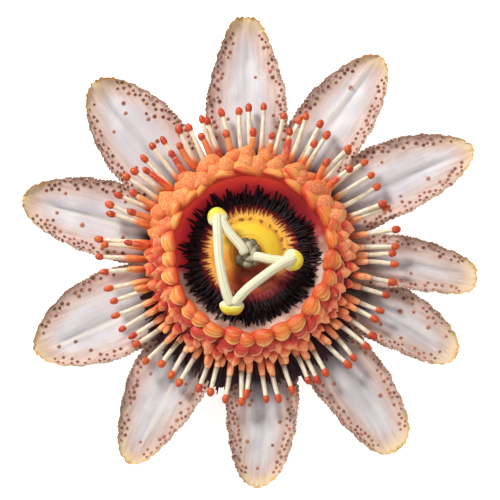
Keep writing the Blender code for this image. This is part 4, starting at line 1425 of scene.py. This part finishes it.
# Middle point, the azimuth that the outer side faces, half-width, half-depth and depth of the notch.
STIGMAS = {
    "stigma_left": (-6.2, 6.45, 12.2, 112.0, 2.0, 1.85, 0.0),
    "stigma_low": (-3.35, -11.55, 12.0, 268.0, 2.4, 1.6, 0.1),
    "stigma_right": (8.55, -2.2, 12.0, 345.0, 2.2, 2.05, 0.0),
}


def stigma(name, x, y, z, azimuth, wide, deep, notch, material):
    """A kidney-shaped cap: an ellipsoid, with a hollow with a raised rim on its inner side.

    The notch on its outer side is a bell across it, and the hollow is a product of two bells.
    """
    down = np.linspace(0.02, math.pi - 0.02, 48)[:, None]
    turn = around(64)[None, :]
    inward = np.sin(down) * np.cos(turn)
    sideways = np.sin(down) * np.sin(turn)
    up = np.cos(down) + 0.0 * turn
    notched = bell(sideways, 0.0, 0.22) * smoothstep(0.2, 0.9, inward)
    swell = 1.0 - notch * notched + 0.012 * np.sin(5.0 * turn + 3.0 * down) * np.sin(down)
    across = (inward * deep - 0.3 * sideways**2) * swell
    along = sideways * wide * swell
    hollow = bell(inward, -0.35, 0.3) * bell(sideways, 0.0, 0.5)
    across, along = rotate(across, along, math.radians(azimuth))
    points = np.stack((x + across, y + along, z + (up * 1.05 - 0.5 * hollow * (up > 0.0) * up)), axis=-1)
    values = {"pale": smoothstep(0.35, -0.25, inward) * 0.95}
    add_piece(name + "_cap", points, material, [name], values)


# ------------------------------------------------------------------------------------------------
# Stage, in metres

ELEVATION = math.radians(78.0)
DISTANCE = 0.9  # from the camera to the flower
SPAN = 0.0975  # width of the view at the flower
SENSOR = 36.0  # width of the camera's sensor in millimetres


def aimed(name, data, place, target):
    """Puts a lamp or a camera at a place and aims it at a target."""
    made = bpy.data.objects.new(name, data)
    bpy.context.scene.collection.objects.link(made)
    made.location = place
    made.rotation_euler = (Vector(target) - Vector(place)).to_track_quat("-Z", "Y").to_euler()
    return made


def floor():
    """A plain pale floor under the flower."""
    bpy.ops.mesh.primitive_plane_add(size=4.0, location=(0.0, 0.0, 0.0))
    made = bpy.context.object
    made.name = "floor"
    m = Nodes("floor_paint", 0.9)
    m.inputs["Emission Color"].default_value = WHITE
    m.inputs["Emission Strength"].default_value = 0.62
    paint = m.mix(m.noise(60.0, 2.0), (0.9, 0.9, 0.9, 1.0), (0.92, 0.92, 0.92, 1.0))
    made.data.materials.append(m.finish(paint))


def light(name, energy, size, place):
    """A soft lamp aimed at the flower."""
    data = bpy.data.lights.new(name, "AREA")
    data.energy = energy
    data.size = size
    aimed(name, data, place, (0.0, 0.0, 0.005))


def studio():
    """A pale world, a soft key light from the upper left and a weak fill from the lower right."""
    world = bpy.data.worlds.new("studio")
    world.use_nodes = True
    background = world.node_tree.nodes["Background"]
    background.inputs["Color"].default_value = WHITE
    background.inputs["Strength"].default_value = 0.42
    bpy.context.scene.world = world
    light("key", 3.5, 0.16, (-0.32, 0.34, 0.42))
    light("fill", 0.4, 0.3, (0.3, -0.36, 0.36))
    bpy.context.scene.view_settings.view_transform = "Standard"


def camera():
    """A long lens above the flower, tipped a little towards its near side."""
    data = bpy.data.cameras.new("camera")
    data.sensor_width = SENSOR
    data.lens = SENSOR * DISTANCE / SPAN
    target = Vector((0.0002, 0.0008, 0.0075))
    direction = Vector((0.0, -math.cos(ELEVATION), math.sin(ELEVATION)))
    bpy.context.scene.camera = aimed("camera", data, target + direction * DISTANCE, target)


# ------------------------------------------------------------------------------------------------

petal_skin = tepal_material()
for order in range(1, len(TEPALS) + 1):
    tepal(order, petal_skin)
warts(wart_material())
receptacle(receptacle_material())
cup(cup_material())
thread_skin = filament_material()
long_filaments(thread_skin)
upper_filaments(thread_skin)
ruff(ruff_material())
fringe(shade_fringe_material())
nectar_disc(disc_material())
spines(spine_material(), bed_material())
ovary(ovary_material())
tube_skin = style_material()
for label, line in STYLES.items():
    style(label, line, tube_skin)
cushion_skin = stigma_material()
for label, place in STIGMAS.items():
    stigma(label, *place, cushion_skin)
floor()
studio()
camera()
